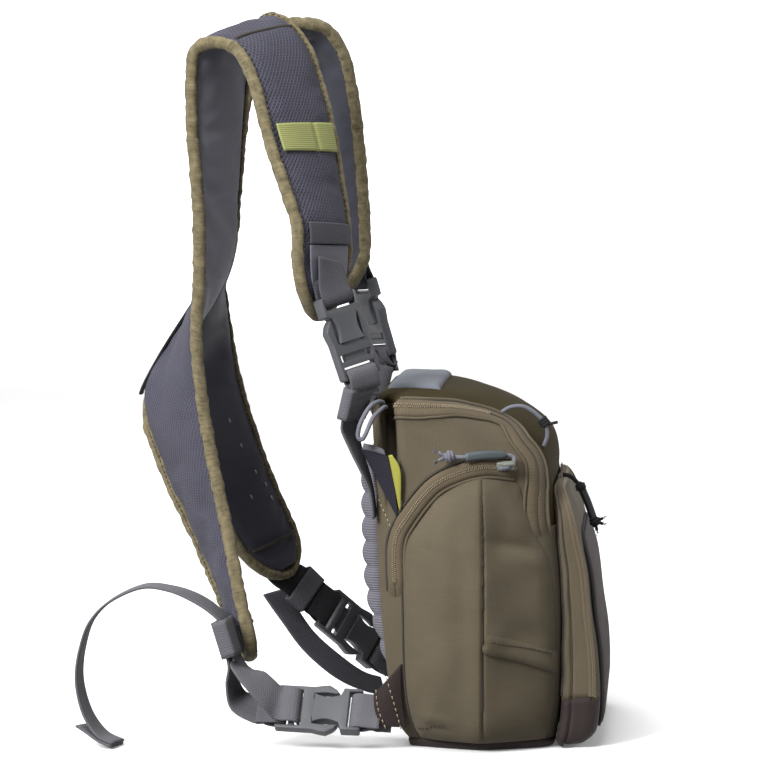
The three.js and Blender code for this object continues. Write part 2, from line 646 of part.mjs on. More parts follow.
const box = (x0, x1, half, z0, z1) => toSolid(new THREE.BoxGeometry(x1 - x0, 2 * half, z1 - z0)
  .translate((x0 + x1) / 2, 0, (z0 + z1) / 2));
const slotHole = (from, to) => box(from, to, BUCKLE.slotHalf, -BUCKLE.socketThick, BUCKLE.socketThick);
function mirroredPlate(half, thick) {
  const outline = [...half, ...[...half].reverse().map(([x, y]) => [x, -y])];
  const shape = new THREE.Shape(outline.map(([x, y]) => new THREE.Vector2(x, y)));
  const slab = new THREE.ExtrudeGeometry(shape, { depth: thick, bevelEnabled: false });
  return toSolid(slab.translate(0, 0, -thick / 2));
}

// Thins the end bar to a slim rail so that a strap can loop round it.
function slimBar(solid, from, to) {
  const { bar, slotHalf, socketThick } = BUCKLE;
  return solid.subtract(box(from, to, slotHalf, bar / 2, socketThick))
    .subtract(box(from, to, slotHalf, -socketThick, -bar / 2));
}

function prongSolid() {
  const { half, thick, bar, slot } = BUCKLE;
  const outline = [[0, half - 1], [1, half], [19, half], [27, half + 0.6], [31, half - 1.5], [33, half - 3.6],
    [31, half - 4], [19.5, half - 3.8], [19.2, 5.6], [32, 4.6]];
  const plain = mirroredPlate(outline, thick);
  const slotted = plain.subtract(slotHole(bar, bar + slot)).subtract(slotHole(...BUCKLE.secondSlot));
  return slimBar(slotted, -1, bar + 0.5);
}

function socketSolid() {
  const { length, half, bar, slot, socketThick } = BUCKLE;
  const outline = [[19.6, 8.2], [33.6, 8.2], [35, half - 0.5], [length - 1, half - 0.5],
    [length, half - 1.5]];
  const plain = mirroredPlate(outline, socketThick);
  const { from, to, wide, high } = BUCKLE.mouth;
  const slotted = plain.subtract(slotHole(length - bar - slot, length - bar))
    .subtract(box(from, to, wide, -high, high));
  return slimBar(slotted, length - bar - 0.5, length + 1);
}

Object.entries(frames).forEach(([name, { matrix }]) => {
  const buckle = new THREE.Group();
  buckle.applyMatrix4(matrix);
  const shift = (solid) => toGeometry(solid).translate(-BUCKLE.length / 2, 0, 0);
  add(`socket_${name}`, shift(socketSolid()), 'plastic', buckle);
  add(`prong_${name}`, shift(prongSolid()), 'plastic', buckle);
  pack.add(buckle);
});

// Lines of a strap where it loops round the end bar, from inside the slot outwards.
function barLines({ point, y }, atSocket) {
  const places = [[6.2, 4], [3.6, 6.2], [1.5, 6.4], [-1.5, 5.2], [-6, 2.4]];
  return places.map(([x, thick]) => [...point(atSocket ? BUCKLE.length - x : x, 0, 0), ...y, thick]);
}

// The space that the end bar needs inside a strap's loop.
function barSpace({ matrix }, atSocket) {
  const { length, bar } = BUCKLE;
  const from = atSocket ? length - bar - GAP - 0.5 : -GAP;
  const to = atSocket ? length + GAP : bar + GAP + 0.5;
  const room = new THREE.BoxGeometry(to - from, 2 * WEB.width, bar + 2 * GAP);
  return toSolid(room.translate((from + to - length) / 2, 0, 0).applyMatrix4(matrix));
}

function loopedWeb(frame, atSocket, lines, count, square = true) {
  const strap = toSolid(webbing([...barLines(frame, atSocket), ...lines], count, { square }));
  return strap.subtract(barSpace(frame, atSocket));
}

// Straps above the bag

// The straight run of a shoulder strap inside its keeper.
const SHOULDER_RUN = { top: [-64.2, 88.8, 184], bottom: [-66.8, 87.6, 173.5] };
const shoulderLines = (side, past) => [-past, 0.5, 1 + past].map((f) => {
  const [x, y, z] = SHOULDER_RUN.top.map((value, k) => lerp(value, SHOULDER_RUN.bottom[k], f));
  return [x, side * y, z, 0.55, side * -0.8, 0.1, WEB.thick];
});

SIDES.forEach(([name, side]) => {
  const frame = frames[`front_${name}`];
  const half = halves[name];
  const onPad = (d, t, lift) => {
    const s = half.station(d);
    return [...half.point(s, t, padThickness(0) + lift), ...s.across, WEB.thick];
  };
  add(`pad_web_${name}`, loopedWeb(frame, true, [onPad(24, 0.3, 4.6), onPad(34, 2.5, 2)], 12, false), 'web');
  const y = (value) => side * value;
  const lines = [
    ...shoulderLines(side, 0.15),
    [-67, y(87), 166, 0.3, y(-0.9), 0, WEB.thick],
    [-63.5, y(87), 156, 0.2, y(-0.95), 0, WEB.thick],
    [-59.5, y(87), 146, 0.1, y(-1), 0, WEB.thick],
    [-56, y(87), 135, 0, y(-1), 0, WEB.thick],
    [-54.4, y(87), 122, 0, y(-1), 0, WEB.thick],
  ];
  add(`shoulder_web_${name}`, loopedWeb(frame, false, lines, 14), 'web');
});

// A sleeve round a strap: a short wide strip with room for the strap cut through it.
function sleeve(lines, room) {
  const { width, wall, clear } = SLEEVE;
  const outside = webbing(lines, 4, { width, extra: room - WEB.thick + 2 * wall });
  const past = [lines[0], lines.at(-1)].map((line, k) => {
    const other = [lines.at(-1), lines[0]][k];
    return line.map((value, c) => (c < 3 ? value + (value - other[c]) * 0.4 : value));
  });
  const cut = { width: WEB.width + 2 * clear, extra: room - WEB.thick };
  const inside = webbing([past[0], ...lines, past[1]], 8, cut);
  return toSolid(outside).subtract(toSolid(inside));
}

SIDES.forEach(([name, side]) => {
  add(`shoulder_keeper_${name}`, sleeve(shoulderLines(side, 0), WEB.thick + 2.2), 'web');
});

// Straps below the wings

// Stations along a strap that twists evenly from one end to the other.
function evenTwist(points, first, last) {
  const tangents = points.map((p, k) => points[Math.min(k + 1, points.length - 1)].clone()
    .sub(points[Math.max(k - 1, 0)]).normalize());
  const square = (across, tangent) => across.clone()
    .addScaledVector(tangent, -across.dot(tangent)).normalize();
  const carried = [square(first, tangents[0])];
  for (let k = 1; k < points.length; k += 1) {
    const turn = new THREE.Quaternion().setFromUnitVectors(tangents[k - 1], tangents[k]);
    carried.push(carried[k - 1].clone().applyQuaternion(turn));
  }
  const end = tangents.at(-1);
  const wanted = square(last, end);
  const twist = Math.atan2(carried.at(-1).clone().cross(wanted).dot(end), carried.at(-1).dot(wanted));
  return points.map((p, k) => {
    const across = carried[k].applyAxisAngle(tangents[k], twist * k / (points.length - 1));
    return { p, across, normal: across.clone().cross(tangents[k]) };
  });
}

// Near side: the strap leaves the wing's tip, loops through the buckle, comes back through a keeper and
// ends in a long free tail that reaches the floor.
const KEEPER_HALF = 10;
const NEAR_KEEPER = { centre: [-135, -90, 57], axis: [-0.3, 0.05, 0.95], across: [0.35, 0.93, 0.06] };
const FAR_KEEPER = { centre: [-105, 66.2, 65], axis: [-0.62, -0.36, 0.67], across: [0.5, 0.5, 0.73] };
function inKeeper({ centre, axis, across }, along, lift = 0) {
  const normal = vec(...across).cross(vec(...axis)).normalize();
  const p = vec(...centre).addScaledVector(vec(...axis), along).addScaledVector(normal, lift);
  return [...p, ...across, WEB.thick];
}
const keeperLines = (keeper) => [-KEEPER_HALF, 0, KEEPER_HALF].map((along) => inKeeper(keeper, along));
const LAYER = 1.3;

const { low_near: nearFrame } = frames;
const nearRun = evenTwist([
  nearFrame.point(-6, 0, 0),
  vec(-117, -92, 19.8),
  vec(-127.5, -91, 22.5),
  vec(-133.5, -90.5, 31),
  vec(...inKeeper(NEAR_KEEPER, -14, -LAYER - 0.6).slice(0, 3)),
], nearFrame.y, vec(...NEAR_KEEPER.across));
const nearMiddle = nearRun.slice(1, -1);
add('low_strand_near', loopedWeb(nearFrame, false, [
  ...nearMiddle.map(({ p, across }) => [...p, ...across, WEB.thick]),
  inKeeper(NEAR_KEEPER, -15, -LAYER - 0.8),
  ...[-7, 1, 9].map((along) => inKeeper(NEAR_KEEPER, along, -LAYER)),
], 23), 'web');

const returnLines = [[12.2, -1], [12, 2.2], [10.4, 4.7], [6, 5.4], [1.5, 5.5], [-6, 5.7]]
  .map(([x, z]) => [...nearFrame.point(x, 0, z), ...nearFrame.y, WEB.thick]);
const RETURN_LIFTS = [8, 10, 8];
const TAIL_LINES = [
  [-150, -88, 78, 0.2, 0.95, 0.1, WEB.thick],
  [-162, -86, 83, 0.15, 0.95, 0.1, WEB.thick],
  [-177, -84, 84, 0.15, 0.95, 0.1, WEB.thick],
  [-194, -83, 76.5, 0.15, 0.95, 0.05, WEB.thick],
  [-205, -83, 65.5, 0.15, 0.95, 0, WEB.thick],
  [-210, -84, 51, 0.15, 0.95, 0, WEB.thick],
  [-211.5, -86, 37, 0.15, 0.95, 0, WEB.thick],
  [-209.5, -88, 25, 0.2, 0.9, 0, WEB.thick],
  [-205, -91, 14, 0.25, 0.9, 0, WEB.thick],
  [-198, -94, 4.5, 0.25, 0.9, 0, WEB.thick],
  [-188, -96, 1.05, 0.1, 1, 0, WEB.thick],
];
add('tail_near', webbing([
  ...returnLines,
  ...nearMiddle.map(({ p, across, normal }, k) => [
    ...p.clone().addScaledVector(normal, RETURN_LIFTS[k]), ...across, WEB.thick]),
  inKeeper(NEAR_KEEPER, -15, LAYER + 1),
  ...[-7, 1, 9, 15].map((along) => inKeeper(NEAR_KEEPER, along, LAYER)),
  ...TAIL_LINES,
], 44), 'web');
add('low_keeper_near', sleeve(keeperLines(NEAR_KEEPER), 2 * WEB.thick + 2.4), 'web');

// Far side: the strap from the wing's end to the buckle, with a keeper and a slack lower run.
add('low_strand_far', loopedWeb(frames.low_far, false, [
  ...[-7, 0, 7].map((along) => inKeeper(FAR_KEEPER, along)),
  [-113.5, 62, 72, 0.5, 0.65, 0.55, WEB.thick],
  [-119.5, 60, 76.5, 0.56, 0.75, 0.3, WEB.thick],
  [-128.5, 55, 91, 0.56, 0.78, 0.28, WEB.thick],
], 15), 'web');
add('low_keeper_far', sleeve([-6, 0, 6].map((along) => inKeeper(FAR_KEEPER, along)), WEB.thick + 1.2), 'web');
add('tail_far', webbing([
  [-122.5, 63.5, 63.6, 0.2, 0.9, 0.4, WEB.thick],
  [-113.5, 59.5, 51.6, 0.2, 0.9, 0.4, WEB.thick],
  [-102, 57.5, 36.5, 0.2, 0.9, 0.4, WEB.thick],
  [-87, 59, 23, 0.2, 0.9, 0.4, WEB.thick],
  [-73, 63, 14, 0.1, 0.9, 0.3, WEB.thick],
  [-61, 67, 10, 0, 0.9, 0.3, WEB.thick],
], 14), 'web');

SIDES.forEach(([name, side]) => {
  const frame = frames[`low_${name}`];
  const sewn = [[-51, 96.6, 19.5], [-44.5, 95.3, 19]]
    .map(([x, y, z]) => [x, side * y, z, 0, 0, 1, WEB.thick]);
  add(`low_web_${name}`, loopedWeb(frame, true, sewn, 12), 'web');
});

// Tape over the seam where the two halves of the yoke meet
const spineStations = [0.03, 0.35, 0.7, 1].map((f) => {
  const z = lerp(SPINE.notch - 14, SPINE.crotch + 4, f);
  const row = smooth(PAD_NEAR.slice(12, 15).map((line) => [line[5], line[3]]), { measured: 1 });
  const lines = Array.from({ length: 40 }, (_, k) => row.at(row.length * k / 39));
  const nearest = lines.reduce((best, line) => (Math.abs(line[0] - z) < Math.abs(best[0] - z) ? line : best));
  const p = vec(nearest[1] - SPINE.lift, 0, nearest[0]);
  return { p, across: vec(0, 1, 0), width: SPINE.width, thick: SPINE.thick };
});
add('spine_tape', strip(spineStations), 'black');

// Zip pulls and cords

const MAIN_PULL_ROUTE = [[-50, -84.2, 182], [-52, -89, 183], [-56, -97, 181], [-60.5, -101.5, 173],
  [-62, -102, 166], [-60, -102, 164], [-58, -101.5, 167], [-54.5, -98, 175], [-50, -90, 179.6],
  [-48.5, -84.6, 179.8]];
const PULL_RADIUS = 1.2;
add('main_pull', tube(MAIN_PULL_ROUTE, PULL_RADIUS, 13), 'cord');

SIDES.forEach(([name, side]) => {
  const face = (x, z, lift) => {
    const p = onSide(x, z, lift, side);
    return [p.x, p.y, p.z];
  };
  add(`side_pull_${name}`, union([
    new THREE.BoxGeometry(10, 3.4, 4.2).translate(...face(14, 149, 7.4)),
    tube([face(15, 149, 7.4), face(18, 152, 6.5), face(17, 155.5, 5.5), face(13, 155.8, 5.5)], 1.2, 5, 6),
    tube([face(14, 155.8, 5.5), face(4, 156, 5.5), face(-6, 155.2, 5.5)], 2.3, 2, 6),
    tube([face(-5, 155.2, 5.5), face(-9, 155, 5.5), face(-13, 155.5, 5.5)], 1.2, 2, 6),
    ball(face(-14, 155.5, 5.5), 3.6),
  ]), 'cord');
});

add('front_pull', union([
  tube([[43, -32, 140], [47, -32, 139.2], [50.6, -32, 136], [53.5, -32, 132]], 1.3, 4, 6),
  ball([53, -32, 133.5], 2.8),
  tube([[53.5, -32, 132], [56.5, -32, 125], [59.5, -32, 116.5]], 2.3, 2, 6),
  ball([60.5, -32, 114.5], 3.2),
]), 'black');

const TIPPET_ROUTE = [[11.5, -66, 176], [16.2, -66, 178.7], [23.2, -66, 179], [30.2, -66, 174.8],
  [34.6, -66, 169.3], [35.6, -66, 163.5], [33.6, -66, 158]];
const TIPPET = { radius: 1.1, steps: 9, tie: 2.8 };
const tieSpace = toSolid(tube(TIPPET_ROUTE, TIPPET.radius + GAP, TIPPET.steps));
add('tippet_loop', tube(TIPPET_ROUTE, TIPPET.radius, TIPPET.steps), 'cord');
add('tippet_tie', toSolid(ball(TIPPET_ROUTE[4], TIPPET.tie)).subtract(tieSpace), 'black');

export default pack;
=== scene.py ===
# %% [markdown]
# # A chest pack with a padded shoulder harness
#
# The pack is a small tackle bag that is worn on the chest: a soft cloth body with a zipped lid, pockets
# on its sides and front, and two padded straps that meet between the shoulder blades.
# The measured solids come in first, as a fixed frame. Each soft part is then made again as cloth, foam,
# webbing or cord, in the place where its solid stands, so nothing has to be fitted by eye.

# %% Load the measured solids
import math

import bmesh
import bpy
import numpy as np
from mathutils import Matrix, Vector
from mathutils.bvhtree import BVHTree


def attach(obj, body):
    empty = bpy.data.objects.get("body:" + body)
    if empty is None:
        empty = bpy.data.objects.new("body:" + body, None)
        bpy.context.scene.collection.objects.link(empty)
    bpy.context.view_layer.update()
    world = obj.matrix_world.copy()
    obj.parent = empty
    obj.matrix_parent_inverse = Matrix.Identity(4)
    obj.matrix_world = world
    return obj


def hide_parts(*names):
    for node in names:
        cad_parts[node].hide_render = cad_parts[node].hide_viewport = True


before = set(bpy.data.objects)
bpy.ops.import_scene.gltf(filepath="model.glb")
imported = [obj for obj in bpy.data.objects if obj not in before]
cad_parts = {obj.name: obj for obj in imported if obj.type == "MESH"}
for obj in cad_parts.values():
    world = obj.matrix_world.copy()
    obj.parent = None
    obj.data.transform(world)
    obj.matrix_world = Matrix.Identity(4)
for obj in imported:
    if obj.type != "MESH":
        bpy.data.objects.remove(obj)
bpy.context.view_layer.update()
MM = 0.001
NEAR, FAR = -1, 1
SIDES = {"near": NEAR, "far": FAR}

# %% [markdown]
# ## Camera and studio light
#
# The pack stands on a pale floor and is seen from its side through a long lens, a little from the front
# and from just above. One large soft light stands at the camera's left and a weaker one hangs overhead.
# Two faint ones reach the back and the front, and a pale sky fills the shadows, as in a product studio.

# %% Camera and lights
AIM = Vector((-0.055, 0.0, 0.1855))
CAMERA_DISTANCE = 2.2
CAMERA_TURN = math.radians(4)
CAMERA_RISE = math.radians(4)
LENS_MM = 188.36
LIGHTS = {
    "key": {"at": (-1.6, -2.2, 1.6), "size": 0.9, "watts": 152},
    "top": {"at": (-0.3, -0.6, 2.2), "size": 1.4, "watts": 42},
    "back": {"at": (-0.9, 1.6, 1.1), "size": 1.2, "watts": 14},
    "front": {"at": (2.0, 0.9, 1.0), "size": 1.2, "watts": 16},
}
SKY_STRENGTH = 0.36

scene = bpy.context.scene
scene.view_settings.view_transform = "Standard"
towards_camera = Vector((
    math.sin(CAMERA_TURN) * math.cos(CAMERA_RISE),
    -math.cos(CAMERA_TURN) * math.cos(CAMERA_RISE),
    math.sin(CAMERA_RISE),
))
camera = bpy.data.objects.new("camera", bpy.data.cameras.new("camera"))
camera.data.lens = LENS_MM
camera.data.sensor_width = 36
camera.data.clip_end = 50
camera.location = AIM + CAMERA_DISTANCE * towards_camera
camera.rotation_euler = towards_camera.to_track_quat("Z", "Y").to_euler()
scene.collection.objects.link(camera)
scene.camera = camera

for name, light in LIGHTS.items():
    lamp = bpy.data.lights.new(name + "_light", "AREA")
    lamp.size = light["size"]
    lamp.energy = light["watts"]
    lamp_object = bpy.data.objects.new(name + "_light", lamp)
    lamp_object.location = light["at"]
    lamp_object.rotation_euler = (Vector(light["at"]) - AIM).to_track_quat("Z", "Y").to_euler()
    scene.collection.objects.link(lamp_object)

world = bpy.data.worlds.new("studio")
world.use_nodes = True
world.node_tree.nodes["Background"].inputs["Color"].default_value = (1, 1, 1, 1)
world.node_tree.nodes["Background"].inputs["Strength"].default_value = SKY_STRENGTH
scene.world = world
print("camera at", [round(value, 3) for value in camera.location], "lights:", list(LIGHTS))

# %% [markdown]
# ## Finishes
#
# A finish is a material made of nodes. The class below wraps one socket of the node tree, so that sums on
# sockets read as plain arithmetic, and its `node` method adds any other node. Cloth patterns run on each
# piece's own map, called `cloth`, which is laid out in metres, so a weave keeps its real size and follows
# the surface round every bend.

# %% One socket of a finish
class Wire:
    """One value in a finish. Arithmetic on wires adds the Math nodes that it needs."""

    def __init__(self, tree, socket=None):
        self.tree = tree
        self.socket = socket

    def node(self, kind, settings, inputs, output=0):
        made = self.tree.nodes.new("ShaderNode" + kind)
        for key, value in settings.items():
            setattr(made, key, value)
        for key, value in inputs.items():
            if isinstance(value, Wire):
                self.tree.links.new(value.socket, made.inputs[key])
            else:
                made.inputs[key].default_value = value
        return Wire(self.tree, made.outputs[output])

    def other(self, output):
        return Wire(self.tree, self.socket.node.outputs[output])

    def maths(self, operation, *values):
        return self.node("Math", {"operation": operation}, dict(enumerate((self, *values))))

    def __add__(self, other):
        return self.maths("ADD", other)

    def __mul__(self, other):
        return self.maths("MULTIPLY", other)

    def __sub__(self, other):
        return self.maths("SUBTRACT", other)

    def __rsub__(self, other):
        return self.node("Math", {"operation": "SUBTRACT"}, {0: other, 1: self})

    __radd__ = __add__
    __rmul__ = __mul__

    def wave(self, pitch):
        """A smooth wave from 0 to 1 that repeats every pitch."""
        return (self * (2 * math.pi / pitch)).maths("SINE") * 0.5 + 0.5

    def mix(self, first, second):
        """The first colour where this wire is 0 and the second where it is 1."""
        return self.node("Mix", {"data_type": "RGBA"}, {0: self, 6: first, 7: second}, output=2)


print("wires ready")


# %% Colours and empty finishes
def linear(hex_colour):
    """A web colour as the linear red, green, blue and alpha that a shader takes."""
    values = [int(hex_colour[k:k + 2], 16) / 255 for k in (1, 3, 5)]
    return tuple(v / 12.92 if v <= 0.04045 else ((v + 0.055) / 1.055) ** 2.4 for v in values) + (1.0,)


def shaded(colour, share):
    """A colour made darker or paler."""
    return tuple(value * share for value in colour[:3]) + (1.0,)


def new_finish(name, **constants):
    """An empty finish: its material, a wire to start nodes from, and its shader."""
    material = bpy.data.materials.new(name)
    material.use_nodes = True
    shader = material.node_tree.nodes["Principled BSDF"]
    for key, value in constants.items():
        shader.inputs[key.replace("_", " ")].default_value = value
    return material, Wire(material.node_tree), shader


def connect(shader, **wires):
    """Joins wires to the shader's inputs."""
    for key, wire in wires.items():
        wire.tree.links.new(wire.socket, shader.inputs[key.replace("_", " ")])


print("finish tools ready")

# %% [markdown]
# Most of the pack is woven cloth, and weaves differ mainly in the pattern of their threads. Each pattern
# below is a height from 0 to 1 over the cloth map: pack cloth is a plain weave, the straps' face is an
# open diamond net, webbing has ribs with a slant, and the back pad has fine ribs. One function turns
# a pattern into a cloth: threads lighter on top and darker in the gaps, soft mottling, and a little bump.

# %% Weaves
def plain_weave(u, v, pitch):
    return u.wave(pitch) * v.wave(pitch) + (1 - u.wave(pitch)) * (1 - v.wave(pitch))


def cross_ribs(u, v, pitch):
    return v.wave(pitch)


def slanted_ribs(u, v, pitch):
    zigzag = u.maths("PINGPONG", 2.5 * MM)
    return (v + zigzag * 0.8).wave(pitch) * 0.75 + u.wave(pitch * 0.8) * 0.25


def diamond_net(u, v, pitch):
    rising = ((u * 1.35 + v) * (math.pi / pitch)).maths("SINE").maths("ABSOLUTE")
    falling = ((u * 1.35 - v) * (math.pi / pitch)).maths("SINE").maths("ABSOLUTE")
    return 1 - rising.maths("MINIMUM", falling).maths("POWER", 0.7)


print("weaves ready")

# %% Cloth finishes
STREAK_SCALE = (90, 900, 1)


def cloth(name, colour, pattern, pitch, depth, contrast=0.6, mottle=0.16, mottle_scale=42,
          spread=(0.62, 1.25), rough=0.85, sheen=0.03, gloss=0.22):
    """A woven finish: pattern and pitch give its threads, depth their height, contrast their shade."""
    material, start, shader = new_finish(
        name, Sheen_Weight=sheen, Sheen_Roughness=0.5, Specular_IOR_Level=gloss)
    place = start.node("UVMap", {"uv_map": "cloth"}, {})
    apart = start.node("SeparateXYZ", {}, {0: place})
    threads = pattern(apart, apart.other(1), pitch)
    patches = start.node(
        "TexNoise", {}, {"Vector": place, "Scale": mottle_scale, "Detail": 4, "Roughness": 0.6})
    streak_place = start.node("Mapping", {}, {0: place, "Scale": STREAK_SCALE})
    streaks = start.node("TexNoise", {}, {"Vector": streak_place, "Scale": 1, "Detail": 2})
    tone = (threads * contrast + patches * mottle * 2 + streaks * mottle
            - 1.5 * mottle + (1 - contrast) * 0.5)
    gap_colour, top_colour = (shaded(linear(colour), share) for share in spread)
    relief = {"Strength": 0.8, "Distance": depth * MM, "Height": threads + streaks * 0.4}
    connect(
        shader,
        Base_Color=tone.maths("MAXIMUM", 0).maths("MINIMUM", 1).mix(gap_colour, top_colour),
        Roughness=threads * -0.1 + rough,
        Normal=start.node("Bump", {}, relief),
    )
    return material


FINISHES = {
    "body": cloth("pack_cloth", "#534b3c", plain_weave, 0.9 * MM, 0.16, contrast=0.45, mottle=0.28),
    "lid": cloth("lid_cloth", "#302914", plain_weave, 0.9 * MM, 0.12, contrast=0.3, sheen=0.0, gloss=0.06),
    "brown": cloth("coated_cloth", "#251c1b", plain_weave, 0.7 * MM, 0.08, contrast=0.3, rough=0.7),
    "panel": cloth("panel_cloth", "#342a29", plain_weave, 0.8 * MM, 0.1, contrast=0.3),
    "back": cloth("back_mesh", "#67656d", cross_ribs, 1.4 * MM, 0.35, contrast=0.4),
    "net": cloth("diamond_net", "#444350", diamond_net, 3.2 * MM, 0.6, contrast=0.9, spread=(0.4, 1.4)),
    "lining": cloth("smooth_lining", "#64646d", plain_weave, 0.8 * MM, 0.05, contrast=0.15, rough=0.7),
    # The far half's lining: a darker copy of the lining, painted shade.
    "shade_lining": cloth("lining_in_painted_shade", "#383841", plain_weave, 0.8 * MM, 0.05, contrast=0.15, rough=0.7),
    "binding": cloth("binding_tape", "#6b6249", plain_weave, 0.9 * MM, 0.3, contrast=0.25, mottle=0.8,
                     mottle_scale=230, spread=(0.28, 1.6), sheen=0.1),
    "webbing": cloth("webbing", "#57565b", slanted_ribs, 1.5 * MM, 0.25, contrast=0.4),
    "dark_web": cloth("dark_webbing", "#444349", slanted_ribs, 1.5 * MM, 0.22, contrast=0.4),
    "black_web": cloth("black_webbing", "#252427", slanted_ribs, 1.5 * MM, 0.22, contrast=0.4),
    "lime_web": cloth("lime_band", "#8b8e58", cross_ribs, 1.1 * MM, 0.18, contrast=0.3),
    "lime": cloth("lime_lining", "#8a893a", plain_weave, 0.6 * MM, 0.06, contrast=0.2),
    "navy": cloth("navy_gusset", "#191721", plain_weave, 0.8 * MM, 0.1, contrast=0.3),
    "tape": cloth("zip_tape", "#574d3d", cross_ribs, 0.8 * MM, 0.15, contrast=0.4),
    "cord": cloth("grey_cord", "#65666f", slanted_ribs, 1.2 * MM, 0.3, contrast=0.5),
    "black_cord": cloth("black_cord", "#1c1c1e", slanted_ribs, 1.2 * MM, 0.3, contrast=0.4),
}
print("cloth finishes:", len(FINISHES))

# %% [markdown]
# Buckles, zip coils, foam and the moulded cord ends have no threads. Their detail is a fine grain in the
# surface, and edges that have been rubbed a little paler. Pointiness tells a shader where an edge is.

# %% Moulded finishes
def moulded(name, colour, rough, grain_size, grain_depth, edge=0.35, speckle=0.12):
    """A finish for plastic, foam and rubber: fine grain, cloudy roughness and paler edges."""
    material, start, shader = new_finish(name, Specular_IOR_Level=0.45)
    place = start.node("TexCoord", {}, {}, output=3)
    grain = start.node("TexNoise", {}, {"Vector": place, "Scale": 1 / (grain_size * MM), "Detail": 3})
    clouds = start.node("TexNoise", {}, {"Vector": place, "Scale": 60, "Detail": 3})
    edges = start.node("NewGeometry", {}, {}, output=7)
    worn = ((edges - 0.5) * 6).maths("MAXIMUM", 0).maths("MINIMUM", 1) * edge
    tone = (grain * speckle + clouds * 0.25 + worn + 0.2).maths("MINIMUM", 1)
    base = linear(colour)
    connect(
        shader,
        Base_Color=tone.mix(shaded(base, 0.78), shaded(base, 1.35)),
        Roughness=clouds * 0.18 + (rough - 0.09),
        Normal=start.node("Bump", {}, {"Strength": 0.5, "Distance": grain_depth * MM, "Height": grain}),
    )
    return material


FINISHES |= {
    "plastic": moulded("buckle_plastic", "#3f4044", 0.55, 0.35, 0.03),
    "coil": moulded("zip_coil", "#665b48", 0.5, 0.3, 0.02),
    "foam": moulded("patch_foam", "#565960", 0.95, 0.9, 0.25, speckle=0.5),
    "slider": moulded("zip_slider", "#55574f", 0.45, 0.4, 0.03),
    "sleeve": moulded("cord_sleeve", "#3c4346", 0.5, 0.4, 0.03),
    "black_sleeve": moulded("black_sleeve", "#1b1b1d", 0.45, 0.4, 0.03),
    "thread": moulded("thread", "#776e58", 0.8, 0.2, 0.05),
    # Dark thread for stitches and seams, also used for thin dark tubes of painted shade along seams and
    # edges.
    "dark_thread_and_painted_shade": moulded("dark_thread_and_painted_shade", "#2a241c", 0.8, 0.2, 0.05),
    # Stitches on the bindings, made dark as painted shade of the gap between the tape and the net.
    "binding_thread_and_painted_shade": moulded("binding_thread_and_painted_shade", "#453d2b", 0.8, 0.2, 0.05),
    "pale_thread": moulded("pale_thread", "#8f8d8f", 0.8, 0.2, 0.05),
}
print("all finishes:", len(FINISHES))

# %% [markdown]
# ## Floor and backdrop
#
# The pack stands on a wide pale floor with a bright sheet hung far behind it, as on a photographer's table.
# Both glow a little, so that the ground stays even and nearly white. The floor sends no light back up to
# the cloth, because its bounce would flatten the shade under the straps and the pockets.

# %% Floor and backdrop
FLOOR_WIDTH = 12
BACKDROP = {"y": 3.4, "width": 2.4, "height": 1.6}
FLOOR_GLOW, BACKDROP_GLOW = 0.1, 1.0


def stage_sheet(name, glow, place):
    """A pale sheet for the studio: a grid put in its place, with a little light of its own."""
    finish, _, shader = new_finish("pale_" + name, Roughness=0.8, Emission_Strength=glow)
    shader.inputs["Base Color"].default_value = (0.88, 0.88, 0.885, 1)
    shader.inputs["Emission Color"].default_value = (1, 1, 1, 1)
    bm = bmesh.new()
    bmesh.ops.create_grid(bm, x_segments=4, y_segments=4, size=0.5, matrix=place)
    data = bpy.data.meshes.new(name)
    bm.to_mesh(data)
    bm.free()
    data.materials.append(finish)
    sheet = bpy.data.objects.new(name, data)
    scene.collection.objects.link(sheet)
    return sheet


upright = (
    Matrix.Translation((AIM.x, BACKDROP["y"], BACKDROP["height"] / 2))
    @ Matrix.Rotation(math.pi / 2, 4, "X")
    @ Matrix.Diagonal((BACKDROP["width"], BACKDROP["height"], 1, 1))
)
floor = stage_sheet("floor", FLOOR_GLOW, Matrix.Scale(FLOOR_WIDTH, 4))
floor.visible_diffuse = False
backdrop = stage_sheet("backdrop", BACKDROP_GLOW, upright)
print("stage:", floor.name, "and", backdrop.name)

# %% [markdown]
# ## Tools for soft pieces
#
# Straps, pads, pockets and cords are all surfaces that follow a line or a few levels, so three tools make
# most of the pack. `Route` is a smooth line through a short table of millimetres. `sheet_mesh` starts from
# Blender's own grid and moves its points to where a table of rows says, with the cloth map in metres.
# `make_piece` turns the mesh into an object with its finish and hides the solid that it stands for.

# %% Smooth lines through short tables
class Route:
    """A smooth line through the rows of a table, read by the distance along its first columns."""

    STEPS = 24

    def __init__(self, rows, measured=3):
        rows = np.array(rows, float)
        ends = np.vstack([rows[:1], rows, rows[-1:]])
        share = (np.arange(self.STEPS) / self.STEPS)[:, None]
        spans = [
            0.5 * (2 * b + (c - a) * share + (2 * a - 5 * b + 4 * c - d) * share ** 2
                   + (3 * b - a - 3 * c + d) * share ** 3)
            for a, b, c, d in zip(ends, ends[1:], ends[2:], ends[3:])
        ]
        self.rows = np.vstack([*spans, rows[-1:]])
        steps = np.linalg.norm(np.diff(self.rows[:, :measured], axis=0), axis=1)
        self.travel = np.concatenate([[0], np.cumsum(steps)])
        self.length = self.travel[-1]

    def at(self, distance):
        return np.stack([np.interp(distance, self.travel, column) for column in self.rows.T], axis=-1)

    def spread(self, count):
        return self.at(np.linspace(0, self.length, count))

    def level(self, value):
        """The row where the first column, which only grows, reaches a value."""
        return np.stack([np.interp(value, self.rows[:, 0], column) for column in self.rows.T], axis=-1)


def unit(vectors):
    return vectors / np.maximum(np.linalg.norm(vectors, axis=-1, keepdims=True), 1e-12)


def tangents(points):
    """The direction of a line at each of its points."""
    return unit(np.gradient(points, axis=0))


print("a test route is", round(Route([[0, 0, 0], [30, 0, 0], [30, 40, 0]]).length, 1), "mm long")


